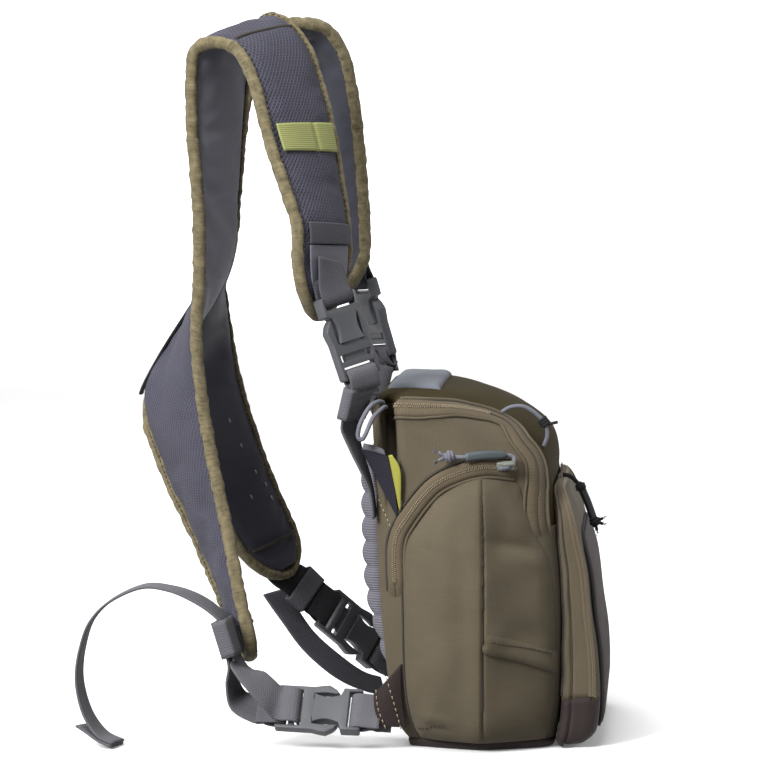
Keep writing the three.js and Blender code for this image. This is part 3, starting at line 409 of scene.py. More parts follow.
# %% A grid whose points go where a table of rows says
def sheet_mesh(points, wrap=False, inside=None, paint=None):
    """A mesh from rows of points in mm.

    wrap joins the last column to the first, inside is a point that the faces turn away from, and paint
    gives the number of the finish for a row and a column.
    """
    rows, columns = points.shape[0] - 1, points.shape[1] - 1
    bm = bmesh.new()
    cloth_map = bm.loops.layers.uv.new("cloth")
    bmesh.ops.create_grid(bm, x_segments=columns, y_segments=rows, size=0.5)
    across = np.zeros(points.shape[:2])
    across[:, 1:] = np.cumsum(np.linalg.norm(np.diff(points, axis=1), axis=-1), axis=1)
    across -= across[:, -1:] / 2
    along = np.zeros(points.shape[:2])
    along[1:] = np.cumsum(np.linalg.norm(np.diff(points, axis=0), axis=-1).mean(axis=1))[:, None]
    places = [(round((v.co.y + 0.5) * rows), round((v.co.x + 0.5) * columns)) for v in bm.verts]
    for face in bm.faces:
        for loop in face.loops:
            place = places[loop.vert.index]
            loop[cloth_map].uv = (across[place] * MM, along[place] * MM)
        if paint:
            centre = face.calc_center_median()
            face.material_index = paint(int((centre.y + 0.5) * rows), int((centre.x + 0.5) * columns))
    for vert, place in zip(bm.verts, places):
        vert.co = points[place] * MM
    if wrap:
        bmesh.ops.remove_doubles(bm, verts=bm.verts, dist=1e-7)
    bmesh.ops.recalc_face_normals(bm, faces=bm.faces)
    if inside is not None:
        middle = Vector(inside) * MM
        outward = sum(f.normal.dot(f.calc_center_median() - middle) * f.calc_area() for f in bm.faces)
        if outward < 0:
            bmesh.ops.reverse_faces(bm, faces=bm.faces)
    return bm


print("grid tool ready")


# %% A piece of the pack
def make_piece(name, bm, finishes, replaces=(), thick=0.0):
    """An object from a mesh, with its finishes, that stands for the named solids."""
    mesh = bpy.data.meshes.new(name)
    bm.to_mesh(mesh)
    bm.free()
    for finish in finishes:
        mesh.materials.append(FINISHES[finish])
    mesh.shade_smooth()
    piece = bpy.data.objects.new(name, mesh)
    scene.collection.objects.link(piece)
    if thick:
        wall = piece.modifiers.new("wall", "SOLIDIFY")
        wall.thickness = thick * MM
        wall.offset = -1
        wall.thickness_clamp = 1.5
    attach(piece, "root")
    if replaces:
        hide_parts(*replaces)
    print(name, "has", len(mesh.polygons), "faces")
    return piece


print("piece tool ready")


# %% Tubes and ribbons along a line
def closed_ends(points):
    """Adds a row at each end that is drawn together to one point, so that a tube closes."""
    first = np.broadcast_to(points[0, :-1].mean(axis=0), points[0].shape)
    last = np.broadcast_to(points[-1, :-1].mean(axis=0), points[-1].shape)
    return np.concatenate([first[None], points, last[None]])


def tube_points(line, radius, sides=10):
    """Rows of points round a line. radius is one number or one for each point."""
    ahead = tangents(line)
    side = np.cross(ahead[0], (0.3, 0.2, 0.9))
    radius = np.broadcast_to(radius, len(line))
    angles = np.linspace(0, 2 * math.pi, sides + 1)
    rows = []
    for point, way, reach in zip(line, ahead, radius):
        side = unit(side - way * side.dot(way))
        up = np.cross(way, side)
        rows.append(point + reach * (np.outer(np.cos(angles), side) + np.outer(np.sin(angles), up)))
    return closed_ends(np.array(rows))


def tube_piece(name, line, radius, finish):
    """A thin tube along a line: a seam, a piping or a rolled edge."""
    return make_piece(name, sheet_mesh(tube_points(line, radius, 8), wrap=True), [finish])


STRAP_SECTION = [
    (-1, 0), (-0.98, 0.7), (-0.92, 1), (-0.5, 1), (0, 1), (0.5, 1), (0.92, 1), (0.98, 0.7),
    (1, 0), (0.98, -0.7), (0.92, -1), (0.5, -1), (0, -1), (-0.5, -1), (-0.92, -1), (-0.98, -0.7), (-1, 0),
]


def ribbon_points(line, across, width, thick, ends=True):
    """Rows of points round a flat strap. thick is one number or one for each point."""
    ahead = tangents(line)
    side = unit(across - ahead * np.sum(across * ahead, axis=1, keepdims=True))
    out = np.cross(side, ahead)
    thick = np.broadcast_to(thick, len(line))[:, None]
    rows = np.stack([
        line + side * (s * width / 2) + out * (n * thick / 2) for s, n in STRAP_SECTION
    ], axis=1)
    return closed_ends(rows) if ends else rows


def strap(rows, step, width, thick):
    """A flat strap along the smooth route of lines x, y, z and its direction across."""
    route = Route(rows)
    stops = route.spread(max(4, round(route.length / step)))
    return ribbon_points(stops[:, :3], stops[:, 3:6], width, thick)


print("tubes and ribbons ready, a strap's section has", len(STRAP_SECTION), "points")

# %% [markdown]
# Cloth is never quite flat, so `waves` adds soft swells, the same on every run. Stitches and zip teeth are
# small blocks. `Surface` says where a finished form lies, by a ray or by the nearest point, so that tapes,
# seams and stitches can be laid on it and follow its folds.

# %% Swells, small blocks and surfaces to lay pieces on
def waves(points, size, height):
    """Soft irregular swells over a surface, the same on every run."""
    x, y, z = np.moveaxis(np.asarray(points, float) / size, -1, 0)
    swell = np.sin(x * 1.3 + y * 0.7 + 0.4) * np.sin(z * 1.1 - x * 0.6 + 1.9)
    ripple = np.sin(x * 2.3 - z * 1.7 + 2.2) * np.sin(y * 2.1 + z * 1.9 + 0.3)
    return height * (0.65 * swell + 0.35 * ripple)


def add_block(bm, at, along, across, size):
    """A small block in mm with one side along the first direction and one across it."""
    along = Vector(along).normalized()
    out = along.cross(Vector(across)).normalized()
    side = out.cross(along)
    turn = Matrix((along * size[0], side * size[1], out * size[2])).transposed().to_4x4()
    turn.translation = Vector(at)
    bmesh.ops.create_cube(bm, size=1.0, matrix=Matrix.Scale(MM, 4) @ turn)


class Surface:
    """A finished form that other pieces are laid on, in millimetres."""

    def __init__(self, bm):
        self.tree = BVHTree.FromBMesh(bm)

    def hit(self, start, way):
        point, normal, _, _ = self.tree.ray_cast(Vector(start) * MM, Vector(way))
        return np.array(point) / MM, np.array(normal)

    def from_side(self, x, z, side):
        return self.hit((x, side * 300, z), (0, -side, 0))

    def nearest(self, point):
        found, normal, _, _ = self.tree.find_nearest(Vector(point) * MM)
        return np.array(found) / MM, np.array(normal)

    def tape(self, centres, offsets, lifts):
        """Rows of a tape laid along a line of points: offsets across it and lifts off the surface."""
        seats = [self.nearest(point) for point in centres]
        line = np.array([seat for seat, _ in seats])
        rows = []
        for seat, normal, way in zip(line, (n for _, n in seats), tangents(line)):
            side = unit(np.cross(normal, way))
            row = []
            for offset, lift in zip(offsets, lifts):
                point, out = self.nearest(seat + side * offset)
                row.append(point + out * lift)
            rows.append(row)
        return np.array(rows)


print("surface tools ready")

# %% [markdown]
# ## Free cords
#
# Two short loops of cord hang free: the pull on the main zip, behind the bag's corner, and the tie-down
# loop on the lid. A cord has one length, so each is a tube along one smooth line, with the braid on its
# own map, and both go back into the bag at their far end.

# %% Cord loops
PULL_LOOP = [[-50, -84.2, 182], [-52, -89, 183], [-56, -97, 181], [-60.5, -101.5, 173],
             [-62, -102, 166], [-60, -102, 164], [-58, -101.5, 167], [-54.5, -98, 175],
             [-50, -90, 179.6], [-48.5, -84.6, 179.8]]
TIE_DOWN_LOOP = [[11.5, -66, 176], [16.2, -66, 178.7], [23.2, -66, 179], [30.2, -66, 174.8],
                 [34.6, -66, 169.3], [35.6, -66, 163.5], [33.6, -66, 158]]
PULL_RADIUS = 1.2
TIE_DOWN_RADIUS = 1.1


def cord_piece(name, rows, radius, replaces, points=60):
    """A loop of grey cord, and the line that it follows."""
    line = Route(rows).spread(points)
    mesh = sheet_mesh(tube_points(line, radius), wrap=True)
    return make_piece(name, mesh, ["cord"], replaces), line


pull_loop, pull_line = cord_piece("pull_loop", PULL_LOOP, PULL_RADIUS, ["main_pull"])
tie_down, tie_down_line = cord_piece("tie_down_loop", TIE_DOWN_LOOP, TIE_DOWN_RADIUS, ["tippet_loop"])

# %% [markdown]
# The tie on the lid's loop is thin black cord, wound three times round it with one short end left over. It
# is drawn as the cord itself, a tube along a coil, because a tie this small only has to show its turns.

# %% Tie on the lid's loop
TIE_TURNS, TIE_TURN_RADIUS, TIE_LENGTH = 3, 2.1, 4.4
TIE_CORD_RADIUS = 0.85
TIE_SHARE, TIE_NEXT_SHARE = 0.66, 0.7
LOOSE_END = (4.2, -2.0, 1.2)
tie_route = Route(TIE_DOWN_LOOP)
tie_at = tie_route.at(tie_route.length * TIE_SHARE)
tie_way = unit(tie_route.at(tie_route.length * TIE_NEXT_SHARE) - tie_at)
tie_side = unit(np.cross(tie_way, (0, 1, 0)))
tie_up = np.cross(tie_way, tie_side)
turn_angles = np.linspace(0, 2 * math.pi * TIE_TURNS, 40)
winding = np.array([
    tie_at + tie_way * (angle / turn_angles[-1] - 0.5) * TIE_LENGTH
    + TIE_TURN_RADIUS * (math.cos(angle) * tie_side + math.sin(angle) * tie_up)
    for angle in turn_angles
])
loose_end = winding[-1] + np.outer(np.linspace(0.2, 1, 6), LOOSE_END)
tie_points = tube_points(np.vstack([winding, loose_end]), TIE_CORD_RADIUS, 8)
tie = make_piece("cord_tie", sheet_mesh(tie_points, wrap=True), ["black_cord"], ["tippet_tie"])

# %% [markdown]
# ## The cloth body and its lid
#
# The bag's skin is a loft: thirteen measured levels, each a ring with rounded corners. The ring has
# a crisp ridge in the middle of each side, a deep fold behind it where the corner strip is sewn on, and
# a front that swells under the lid. The whole skin is made in one piece and then parted along the zip, so
# the body and the lid meet exactly. The zip is laid over the cut afterwards.

# %% Levels of the skin
BODY_LEVELS = [
    # z, back, ridge, front, half back, half ridge, half front, fold, crown
    [4, -36, 3, 40, 82, 97, 82, 0, 0],
    [12, -41, 3, 42, 88, 103, 86, 0, 0],
    [30, -46, 3, 43.5, 92, 105, 88, 0, 0],
    [75, -50.5, 3, 44, 93, 106, 88, 0, 0],
    [115, -53, 3, 41, 92, 103, 86, 0, 0],
    [135, -53.5, 2, 38.5, 91, 101, 84, 2, 1],
    [150, -54, -1, 35, 90, 99, 82, 8, 5],
    [162, -55, -6, 28, 89, 97, 78, 12, 9],
    [171, -55.5, -12, 16, 88, 95, 75, 13, 12],
    [178.5, -56, -20, 2, 86, 93, 72, 10, 13],
    [184, -55, -28, -10, 80, 87, 68, 4, 10],
    [187.4, -50, -34, -20, 62, 66, 56, 0, 5],
    [189, -44, -36, -28, 36, 38, 34, 0, 0],
]
ROUNDS = {"back": 3, "strip": 2, "fold": 2, "side": 4, "ridge": 7, "front": 12}
STRIP_BACK, FOLD_BACK, FOLD_FRONT, SIDE_BACK = 4.5, 6.5, 10.5, 13.5
STRIP_OUT, FOLD_OUT, SIDE_OUT = 2, 3, 6
FOLD_DEEPER = 1.9
SKIN_ROWS = 110
body_route = Route(BODY_LEVELS, measured=9)
level_table = Route(BODY_LEVELS, measured=1)
print("the skin runs through", len(BODY_LEVELS), "levels")


# %% Rings with rounded corners
def rounded_ring(corners, bend_points, edge_points):
    """A closed ring through corners [x, y, round], with each corner rounded off and its edges divided."""
    spots = [np.stack(np.broadcast_arrays(x, y), axis=-1).astype(float) for x, y, _ in corners]
    count = len(corners)

    def towards(k, other):
        gap = spots[other] - spots[k]
        length = np.linalg.norm(gap, axis=-1, keepdims=True)
        return spots[k] + gap * np.minimum(corners[k][2] / np.maximum(length, 1e-6), 0.4)

    ring = []
    for k in range(count):
        before, after = (k - 1) % count, (k + 1) % count
        start, end = towards(k, before), towards(k, after)
        shares = np.linspace(0, 1, bend_points) if corners[k][2] else [0.5]
        ring += [(1 - f) ** 2 * start + 2 * f * (1 - f) * spots[k] + f * f * end for f in shares]
        following = towards(after, k)
        steps = edge_points[k] + 1
        ring += [end + (following - end) * e / steps for e in range(1, steps)]
    return np.stack([*ring, ring[0]], axis=-2)


BEND_POINTS = 6
RING_EDGES = [16, 2, 3, 2, 3, 16, 14, 22, 22, 14, 16, 3, 2, 3, 2, 16]


def skin_rings(levels):
    """The outline of the bag at each level, from the middle of the back round its near side."""
    z, back, ridge, front, half_back, half_ridge, half_front, fold, crown = levels.T
    half = [
        (back, half_back, "back"),
        (back + STRIP_BACK, half_back + STRIP_OUT, "strip"),
        (back + FOLD_BACK, half_back + FOLD_OUT - fold * FOLD_DEEPER, "fold"),
        (back + FOLD_FRONT, half_back + FOLD_OUT + 1.5 - fold * FOLD_DEEPER, "fold"),
        (back + SIDE_BACK, half_back + SIDE_OUT, "side"),
        (ridge, half_ridge, "ridge"),
        (front, half_front, "front"),
    ]
    corners = [(back, 0 * z, 0)]
    corners += [(x, -y, ROUNDS[name]) for x, y, name in half]
    corners += [(front, 0 * z, 0)]
    corners += [(x, y, ROUNDS[name]) for x, y, name in reversed(half)]
    ring = rounded_ring(corners, BEND_POINTS, RING_EDGES)
    x, y = ring[..., 0], ring[..., 1]
    ahead = np.clip((x - ridge[:, None]) / (front - ridge)[:, None], 0, 1)
    swell = crown[:, None] * np.maximum(0, 1 - (y / half_front[:, None]) ** 2)
    return np.stack([x + ahead * swell, y, np.broadcast_to(z[:, None], x.shape)], axis=-1)


print("a ring of the skin has", skin_rings(level_table.level(np.array([75.0]))).shape[1], "points")

# %% The skin in one piece
skin_points = skin_rings(body_route.spread(SKIN_ROWS))
top = skin_points[-1]
top_centre = top.mean(axis=0) + (0, 0, 0.6)
skin_points = np.concatenate([skin_points, [top + (top_centre - top) * f for f in (0.35, 0.7, 1.0)]])
skin_points[..., 0] += waves(skin_points, size=31, height=0.5)
skin_points[..., 1] += waves(skin_points, size=27, height=0.6)
skin_mesh = sheet_mesh(skin_points, wrap=True, inside=(0, 0, 90))
skin = Surface(skin_mesh)
print("skin:", len(skin_mesh.faces), "faces")

# %% Part the skin along the zip
ZIP_LINE = [[-80, 181.5], [-51, 181], [-14, 179.6], [12, 172.5], [22.5, 161.5], [29.5, 152], [31, 141],
            [30.5, 128], [31.5, 117], [34.5, 107]]
ZIP_END = 117
zip_route = Route(ZIP_LINE, measured=2)
zip_heights = zip_route.rows[::-1, 1]
zip_places = zip_route.rows[::-1, 0]


def above_zip(point):
    """Whether a point of the skin belongs to the lid."""
    x, _, z = point / MM
    return z > ZIP_END and x > np.interp(z, zip_heights, zip_places)


lid_mesh = skin_mesh.copy()
for mesh, keep_above in ((skin_mesh, False), (lid_mesh, True)):
    wrong = [face for face in mesh.faces if above_zip(face.calc_center_median()) != keep_above]
    bmesh.ops.delete(mesh, geom=wrong, context="FACES")
make_piece("body_cloth", skin_mesh, ["body"], ["main_body"], thick=1.6)
make_piece("lid_cloth", lid_mesh, ["lid"], ["lid"], thick=1.6)

# %% [markdown]
# The base is a thin tray of coated brown cloth with a rolled edge. Its outline is the lowest ring of the
# skin, so it is made from that ring: drawn in underneath, out round the rim, and in again under the body.

# %% Base tray
BASE_PROFILE = [[0.96, 0], [0.985, 0.3], [1.0, 1.6], [1.012, 3.4], [1.006, 5.2], [0.985, 6.0], [0.95, 5.2]]
base_ring = skin_rings(level_table.level(np.array([4.6])))[0]
base_rows = np.array([
    np.column_stack([base_ring[:, :2] * share, np.full(len(base_ring), z)]) for share, z in BASE_PROFILE
])
base_mesh = sheet_mesh(closed_ends(base_rows), wrap=True)
make_piece("base_tray", base_mesh, ["brown"], ["base_panel"])

# %% [markdown]
# ## The main zip
#
# The zip runs over both sides of the lid and down the front corners. It is a woven tape laid on the skin,
# two rows of coil teeth along its middle, and a rolled seam below it. A thin dark tube between the rows of
# teeth and another along the lower seam are painted shade. The teeth are hundreds of small blocks, so each
# has only six faces.

# %% Tools for zips
ZIP_START = -43
TOOTH_PITCH = 1.05
TOOTH_SIZE = (0.62, 1.25, 0.6)


def zip_centres(side, count):
    """Points on the skin along the zip line of one side."""
    start = np.interp(ZIP_START, zip_route.rows[:, 0], zip_route.travel)
    line = zip_route.at(np.linspace(start, zip_route.length, count))
    return np.array([skin.from_side(x, z, side)[0] for x, z in line])


def tucked(points, side, count, at_start=False, depth=3.5):
    """Sinks one end of a tape or seam into the bag, as if it were sewn in there."""
    sink = np.zeros(len(points))
    ramp = np.linspace(0, 1, count) ** 2 * depth
    if at_start:
        sink[:count] = ramp[::-1]
    else:
        sink[-count:] = ramp
    moved = points.copy()
    moved[..., 1] -= side * (sink[:, None] if points.ndim == 3 else sink)
    return moved


def add_teeth(bm, surface, centres, lift, size=TOOTH_SIZE, pitch=TOOTH_PITCH):
    """Two rows of teeth along a line on a surface."""
    route = Route(centres)
    line = route.spread(round(route.length / pitch))
    for point, way in zip(line, tangents(line)):
        seat, normal = surface.nearest(point)
        side = unit(np.cross(normal, way))
        for row in (-1, 1):
            at = seat + normal * lift + side * row * size[1] * 0.56 + way * row * pitch * 0.25
            add_block(bm, at, way, side, size)


print("the main zip is", round(Route(zip_centres(NEAR, 60)).length), "mm long on each side")

# %% Main zip: tapes, teeth and rolled seams
ZIP_POINTS, ZIP_TUCK = 110, 12
TAPE_OFFSETS = np.array([-6.4, -6.0, -4.4, -2.6, -0.9, 0, 0.9, 2.6, 4.4, 6.0, 6.4])
TAPE_LIFTS = np.array([-0.6, 0.3, 0.7, 0.9, 0.9, 0.5, 0.9, 0.9, 0.7, 0.3, -0.6])
TEETH_END, TEETH_LIFT = 6, 1.0
ZIP_SEAMS = {
    # offset towards the lid, lift, radius, finish
    # The slit and the low seam are dark tubes of painted shade: between the rows of teeth, and under the
    # tape.
    "slit_shade": (0, 0.75, 0.35, "dark_thread_and_painted_shade"),
    "low_roll": (-7.4, 0.4, 1.1, "body"),
    "low_seam_shade": (-6.3, 0.2, 0.6, "dark_thread_and_painted_shade"),
    "high_roll": (7.0, 0.5, 0.8, "body"),
}
teeth_mesh = bmesh.new()
for name, side in SIDES.items():
    centres = zip_centres(side, ZIP_POINTS)
    tape = tucked(skin.tape(centres, TAPE_OFFSETS, TAPE_LIFTS), side, ZIP_TUCK)
    make_piece(f"zip_tape_{name}", sheet_mesh(tape, inside=(0, 0, 120)), ["tape"],
               ["main_zip"] if side == NEAR else [])
    add_teeth(teeth_mesh, skin, centres[centres[:, 0] < TEETH_END], TEETH_LIFT)
    for seam_name, (offset, lift, radius, finish) in ZIP_SEAMS.items():
        seam = tucked(skin.tape(centres, [offset * side], [lift])[:, 0], side, ZIP_TUCK)
        tube_piece(f"zip_{seam_name}_{name}", seam, radius, finish)
make_piece("zip_teeth", teeth_mesh, ["coil"])

# %% [markdown]
# Across the back the lid is joined by a plain seam, where two edges of cloth are rolled together. One thick
# tube along the skin is enough for it.

# %% Seam at the back of the lid
BACK_SEAM = {"x": -58, "z": 180.6, "half": 86, "out": 0.4, "radius": 1.5}
back_line = np.array([
    skin.nearest((BACK_SEAM["x"], y, BACK_SEAM["z"]))[0]
    for y in np.linspace(-BACK_SEAM["half"], BACK_SEAM["half"], 60)
])
tube_piece("lid_seam_back", back_line - (BACK_SEAM["out"], 0, 0), BACK_SEAM["radius"], "body")

# %% [markdown]
# ## Side pockets
#
# Each side carries a big soft pocket under an arched zip. Its cloth is a height field over the side of the
# bag: a swell that drops steeply at the seams, a ridge seam down the middle, a dent with two soft folds in
# the front half where the pocket is empty, and a step along the hem of the slip pocket. Each feature is
# one smooth bump with its own place and size, so the folds can be moved like any other dimension.

# %% Outline of a side pocket
POCKET_LEFT = [[5, -30], [15, -34], [30, -36.8], [45, -37.8], [70, -38.3], [95, -38.6],
               [110, -36.8], [119, -31.5], [128, -25], [134, -20], [141, -9], [144.6, 0.5]]
POCKET_RIGHT = [[5, 36], [20, 40], [45, 41.5], [75, 40.5], [100, 36.8], [114, 30], [126, 26],
                [134, 23.5], [141, 20], [144.6, 6]]
POCKET_MIDDLE = np.array([-2, 72])
left_edge = Route(POCKET_LEFT, measured=1)
right_edge = Route(POCKET_RIGHT, measured=1)
outline = np.vstack([left_edge.rows, right_edge.rows[::-1]])[:, ::-1] - POCKET_MIDDLE
outline_angles = np.arctan2(outline[:, 1], outline[:, 0])
angle_order = np.argsort(outline_angles)


def share_to_edge(x, z):
    """0 at the pocket's middle and 1 on its seam."""
    dx, dz = x - POCKET_MIDDLE[0], z - POCKET_MIDDLE[1]
    reach = np.interp(np.arctan2(dz, dx), outline_angles[angle_order],
                      np.linalg.norm(outline, axis=1)[angle_order], period=2 * math.pi)
    return np.clip(np.hypot(dx, dz) / reach, 0, 1)


print("the pocket's outline is", round(np.ptp(outline[:, 0])), "by", round(np.ptp(outline[:, 1])), "mm")

# %% Height of the pocket's cloth
RIDGE_SEAM = Route([[5, 3.3], [50, 3.7], [90, 3.8], [120, 3.2], [145, 2.2]], measured=1)
HEM_LINE = Route([[-5, 58.5], [4.4, 55], [16, 51.4], [29, 46.8], [45, 40]], measured=1)
POCKET_SWELL = 9.6
POCKET_FOLDS = [
    # x, z, reach along x, reach along z, height, turn in degrees
    [11, 113, 9, 13, -2.6, -8],
    [16, 88, 11, 24, -1.6, 6],
    [26, 119, 10, 4.4, 2.8, -34],
    [25, 107.5, 15, 3.8, -3.0, -13],
    [33, 100, 8, 5, 1.6, -20],
    [34, 84, 5, 14, 1.2, 4],
    [30, 62, 12, 6, -1.6, -16],
    [11, 62, 5, 6, 1.4, 20],
    [-17, 105, 10, 34, 2.6, 8],
    [-22, 44, 12, 32, 1.8, -5],
    [-7, 64, 6, 38, -1.0, 3],
    [-32, 22, 4, 14, -1.8, -20],
    [-22, 13.4, 8, 1.5, -1.8, -14],
    [-20, 17.5, 9, 3, 1.4, -14],
    [22, 24, 13, 14, 1.8, 0],
]


def soft_bump(x, z, at_x, at_z, reach_x, reach_z, height, turn):
    """One fold: a smooth bump, or a dent where its height is below 0."""
    c, s = math.cos(math.radians(turn)), math.sin(math.radians(turn))
    along = ((x - at_x) * c + (z - at_z) * s) / reach_x
    up = ((z - at_z) * c - (x - at_x) * s) / reach_z
    return height * np.exp(-along ** 2 - up ** 2)


def pocket_height(x, z):
    """How far the pocket's cloth stands off the side of the bag."""
    share = share_to_edge(x, z)
    ridge = RIDGE_SEAM.level(z)[..., 1]
    from_ridge = x - ridge
    flat = np.clip(from_ridge / np.maximum(right_edge.level(z)[..., 1] - ridge, 1), 0, 1)
    swell_share = np.where(from_ridge > 0, share_to_edge(ridge, z), share)
    swell_height = POCKET_SWELL * np.maximum(0, 1 - swell_share ** 2) ** 0.6 * (1 - flat)
    height = 0.2 + 2.2 * (1 - share ** 12) + swell_height
    fade = 1 - share ** 6
    height += fade * sum(soft_bump(x, z, *fold) for fold in POCKET_FOLDS)
    height += fade * (1.4 * np.exp(-(np.minimum(from_ridge, 0) / 8) ** 2) * (from_ridge < 0)
                      - 1.3 * np.exp(-(from_ridge / 0.8) ** 2))
    above_hem = z - HEM_LINE.level(x)[..., 1]
    hem_step = 1.4 / (1 + np.exp(-above_hem / 0.35)) * (from_ridge > 1.2)
    height += hem_step * fade * np.exp(-np.maximum(above_hem, 0) / 30)
    ripple = waves(np.stack([x, 0 * x, z], axis=-1), size=15, height=0.4)
    return np.maximum(height, 0.2) + ripple * fade


print("the pocket stands off by", round(float(pocket_height(*np.array([[-20.0], [60.0]]))[0]), 1), "mm")

# %% Pocket cloth on both sides
POCKET_ROWS, POCKET_COLUMNS = 170, 96
POCKET_LOW, POCKET_TALL = 5, 139.4
row_share = np.linspace(0, 1, POCKET_ROWS)
pocket_z = POCKET_LOW + POCKET_TALL * (1 - (1 - row_share) ** 1.25)
column_share = np.linspace(0, 1, POCKET_COLUMNS)
pocket_left, pocket_right = left_edge.level(pocket_z)[:, 1:], right_edge.level(pocket_z)[:, 1:]
pocket_x = pocket_left + (pocket_right - pocket_left) * column_share
pocket_z = np.broadcast_to(pocket_z[:, None], pocket_x.shape)
pocket_off = pocket_height(pocket_x, pocket_z)
pockets = {}
for name, side in SIDES.items():
    seats = np.array([
        [skin.from_side(x, z, side)[0] for x, z in zip(*row)] for row in zip(pocket_x, pocket_z)
    ])
    seats[..., 1] += side * pocket_off
    pocket_mesh = sheet_mesh(seats, inside=(0, 0, 70))
    pockets[name] = Surface(pocket_mesh)
    make_piece(f"side_pocket_cloth_{name}", pocket_mesh, ["body"],
               [f"side_pocket_{name}"], thick=1.2)

# %% [markdown]
# The mouth of the slip pocket is a folded hem with a row of stitches. A dark tube just under the hem's edge
# is a painted shadow, and dark tubes down the ridge and the rear edge are painted shade in those seams. The
# hem is a tape laid on the pocket, a shade line is a thin tube and a stitch is a small block, so all of
# them follow the folds.

# %% Hems, seams with painted shade lines, and stitches of the side pockets
def add_stitches(bm, surface, line, pitch=3.2, length=2.2, width=0.55, lift=0.15):
    """A row of stitches along a line of points on a surface."""
    route = Route(line)
    centres = route.spread(max(2, round(route.length / pitch)))
    for point, way in zip(centres, tangents(centres)):
        seat, normal = surface.nearest(point)
        add_block(bm, seat + normal * lift, way, np.cross(normal, way), (length, width, 0.4))


def on_pocket(line, side):
    """Points on a side pocket above a line of x and z."""
    name = "near" if side == NEAR else "far"
    return np.array([pockets[name].from_side(x, z, side)[0] for x, z in line])


HEM_STITCHES = [[9, 60], [16, 58], [24, 56], [31, 54.2], [38, 51.6]]
DART_STITCHES = [[-30, 12.0], [-24, 13.3], [-17.7, 14.9]]
HEM_OFFSETS = np.array([-4.6, -4.5, -4.0, -2, 0, 2, 4.2, 5.8])
HEM_LIFTS = np.array([0.0, 1.1, 1.35, 1.2, 1.0, 0.8, 0.5, 0.0])
HEM_RISE = 4.2
hem_x = np.linspace(5.2, 41, 40)
seam_z = np.linspace(6, 108, 60)
ridge_z = np.linspace(7, 143, 70)
stitch_mesh = bmesh.new()
for name, side in SIDES.items():
    pocket = pockets[name]
    hem_line = on_pocket(np.column_stack([hem_x, HEM_LINE.level(hem_x)[:, 1] + HEM_RISE]), side)
    hem = pocket.tape(hem_line, HEM_OFFSETS * -side, HEM_LIFTS)
    # A dark tube just under the hem's edge: a painted shadow of the hem on the cloth below.
    hem_shadow_line = pocket.tape(hem_line, [HEM_OFFSETS[0] * -side], [0.3])[:, 0]
    tube_piece(f"slip_mouth_shadow_{name}", hem_shadow_line, 0.7, "dark_thread_and_painted_shade")
    # A dark tube along the pocket's rear seam: painted shade in the seam.
    pocket_shade_line = np.array([skin.from_side(x - 0.5, z, side)[0] for z, x in left_edge.level(seam_z)])
    tube_piece(f"pocket_seam_shade_{name}", pocket_shade_line, 0.6, "dark_thread_and_painted_shade")
    # A dark tube down the ridge: painted shade in its groove.
    ridge_shade_line = on_pocket(np.column_stack([RIDGE_SEAM.level(ridge_z)[:, 1], ridge_z]), side)
    tube_piece(f"ridge_seam_shade_{name}", ridge_shade_line, 0.4, "dark_thread_and_painted_shade")
    make_piece(f"slip_hem_cloth_{name}", sheet_mesh(hem, inside=(0, 0, 70)), ["body"],
               [f"slip_hem_{name}"])
    add_stitches(stitch_mesh, pocket, on_pocket(HEM_STITCHES, side), pitch=2.8, width=0.4, lift=0.9)
    add_stitches(stitch_mesh, pocket, on_pocket(DART_STITCHES, side), pitch=2.4, length=1.7, lift=0.35)
make_piece("pocket_stitches", stitch_mesh, ["dark_thread_and_painted_shade"])

# %% [markdown]
# The arched zip above each pocket is made as the main zip is: a tape, teeth, and a rolled seam on each
# side. The lower seam is the dark line that parts the zip from the pocket's cloth, a dark tube of painted
# shade under the tape's edge. A thin dark tube between the rows of teeth is painted shade too.

# %% Arched zips
ARCH_LINE = [[-41.5, 77], [-42.5, 97], [-42, 110], [-37.5, 121], [-24, 138.3], [-10.5, 146],
             [3, 149.2], [19, 147.6]]
ARCH_OFFSETS = np.array([-4.6, -4.2, -2.6, -0.8, 0, 0.8, 2.6, 4.2, 4.6])
ARCH_LIFTS = np.array([-0.5, 1.6, 2.3, 2.5, 2.2, 2.5, 2.3, 1.6, -0.5])
ARCH_TOOTH = (0.6, 1.0, 0.5)
ARCH_TUCK = {"count": 16, "at_start": True, "depth": 5}
ARCH_SEAMS = {
    # offset towards the lid, lift, radius, finish
    # The slit and the low seam are dark tubes of painted shade: between the rows of teeth, and under the
    # tape.
    "slit_shade": (0, 2.3, 0.3, "dark_thread_and_painted_shade"),
    "low_seam_shade": (-5.3, 0.6, 0.75, "dark_thread_and_painted_shade"),
    "high_roll": (5.2, 0.7, 1.0, "body"),
}
arch_route = Route(ARCH_LINE, measured=2)
arch_teeth = bmesh.new()
for name, side in SIDES.items():
    centres = np.array([skin.from_side(x, z, side)[0] for x, z in arch_route.spread(110)])
    tape = tucked(skin.tape(centres, ARCH_OFFSETS, ARCH_LIFTS), side, **ARCH_TUCK)
    make_piece(f"arch_tape_{name}", sheet_mesh(tape, inside=(0, 0, 90)), ["tape"],
               [f"side_zip_{name}"])
    add_teeth(arch_teeth, skin, centres[12:], 2.6, ARCH_TOOTH, 1.0)
    for seam_name, (offset, lift, radius, finish) in ARCH_SEAMS.items():
        seam = tucked(skin.tape(centres, [offset * side], [lift])[:, 0], side, **ARCH_TUCK)
        tube_piece(f"arch_{seam_name}_{name}", seam, radius, finish)
make_piece("arch_teeth", arch_teeth, ["coil"])

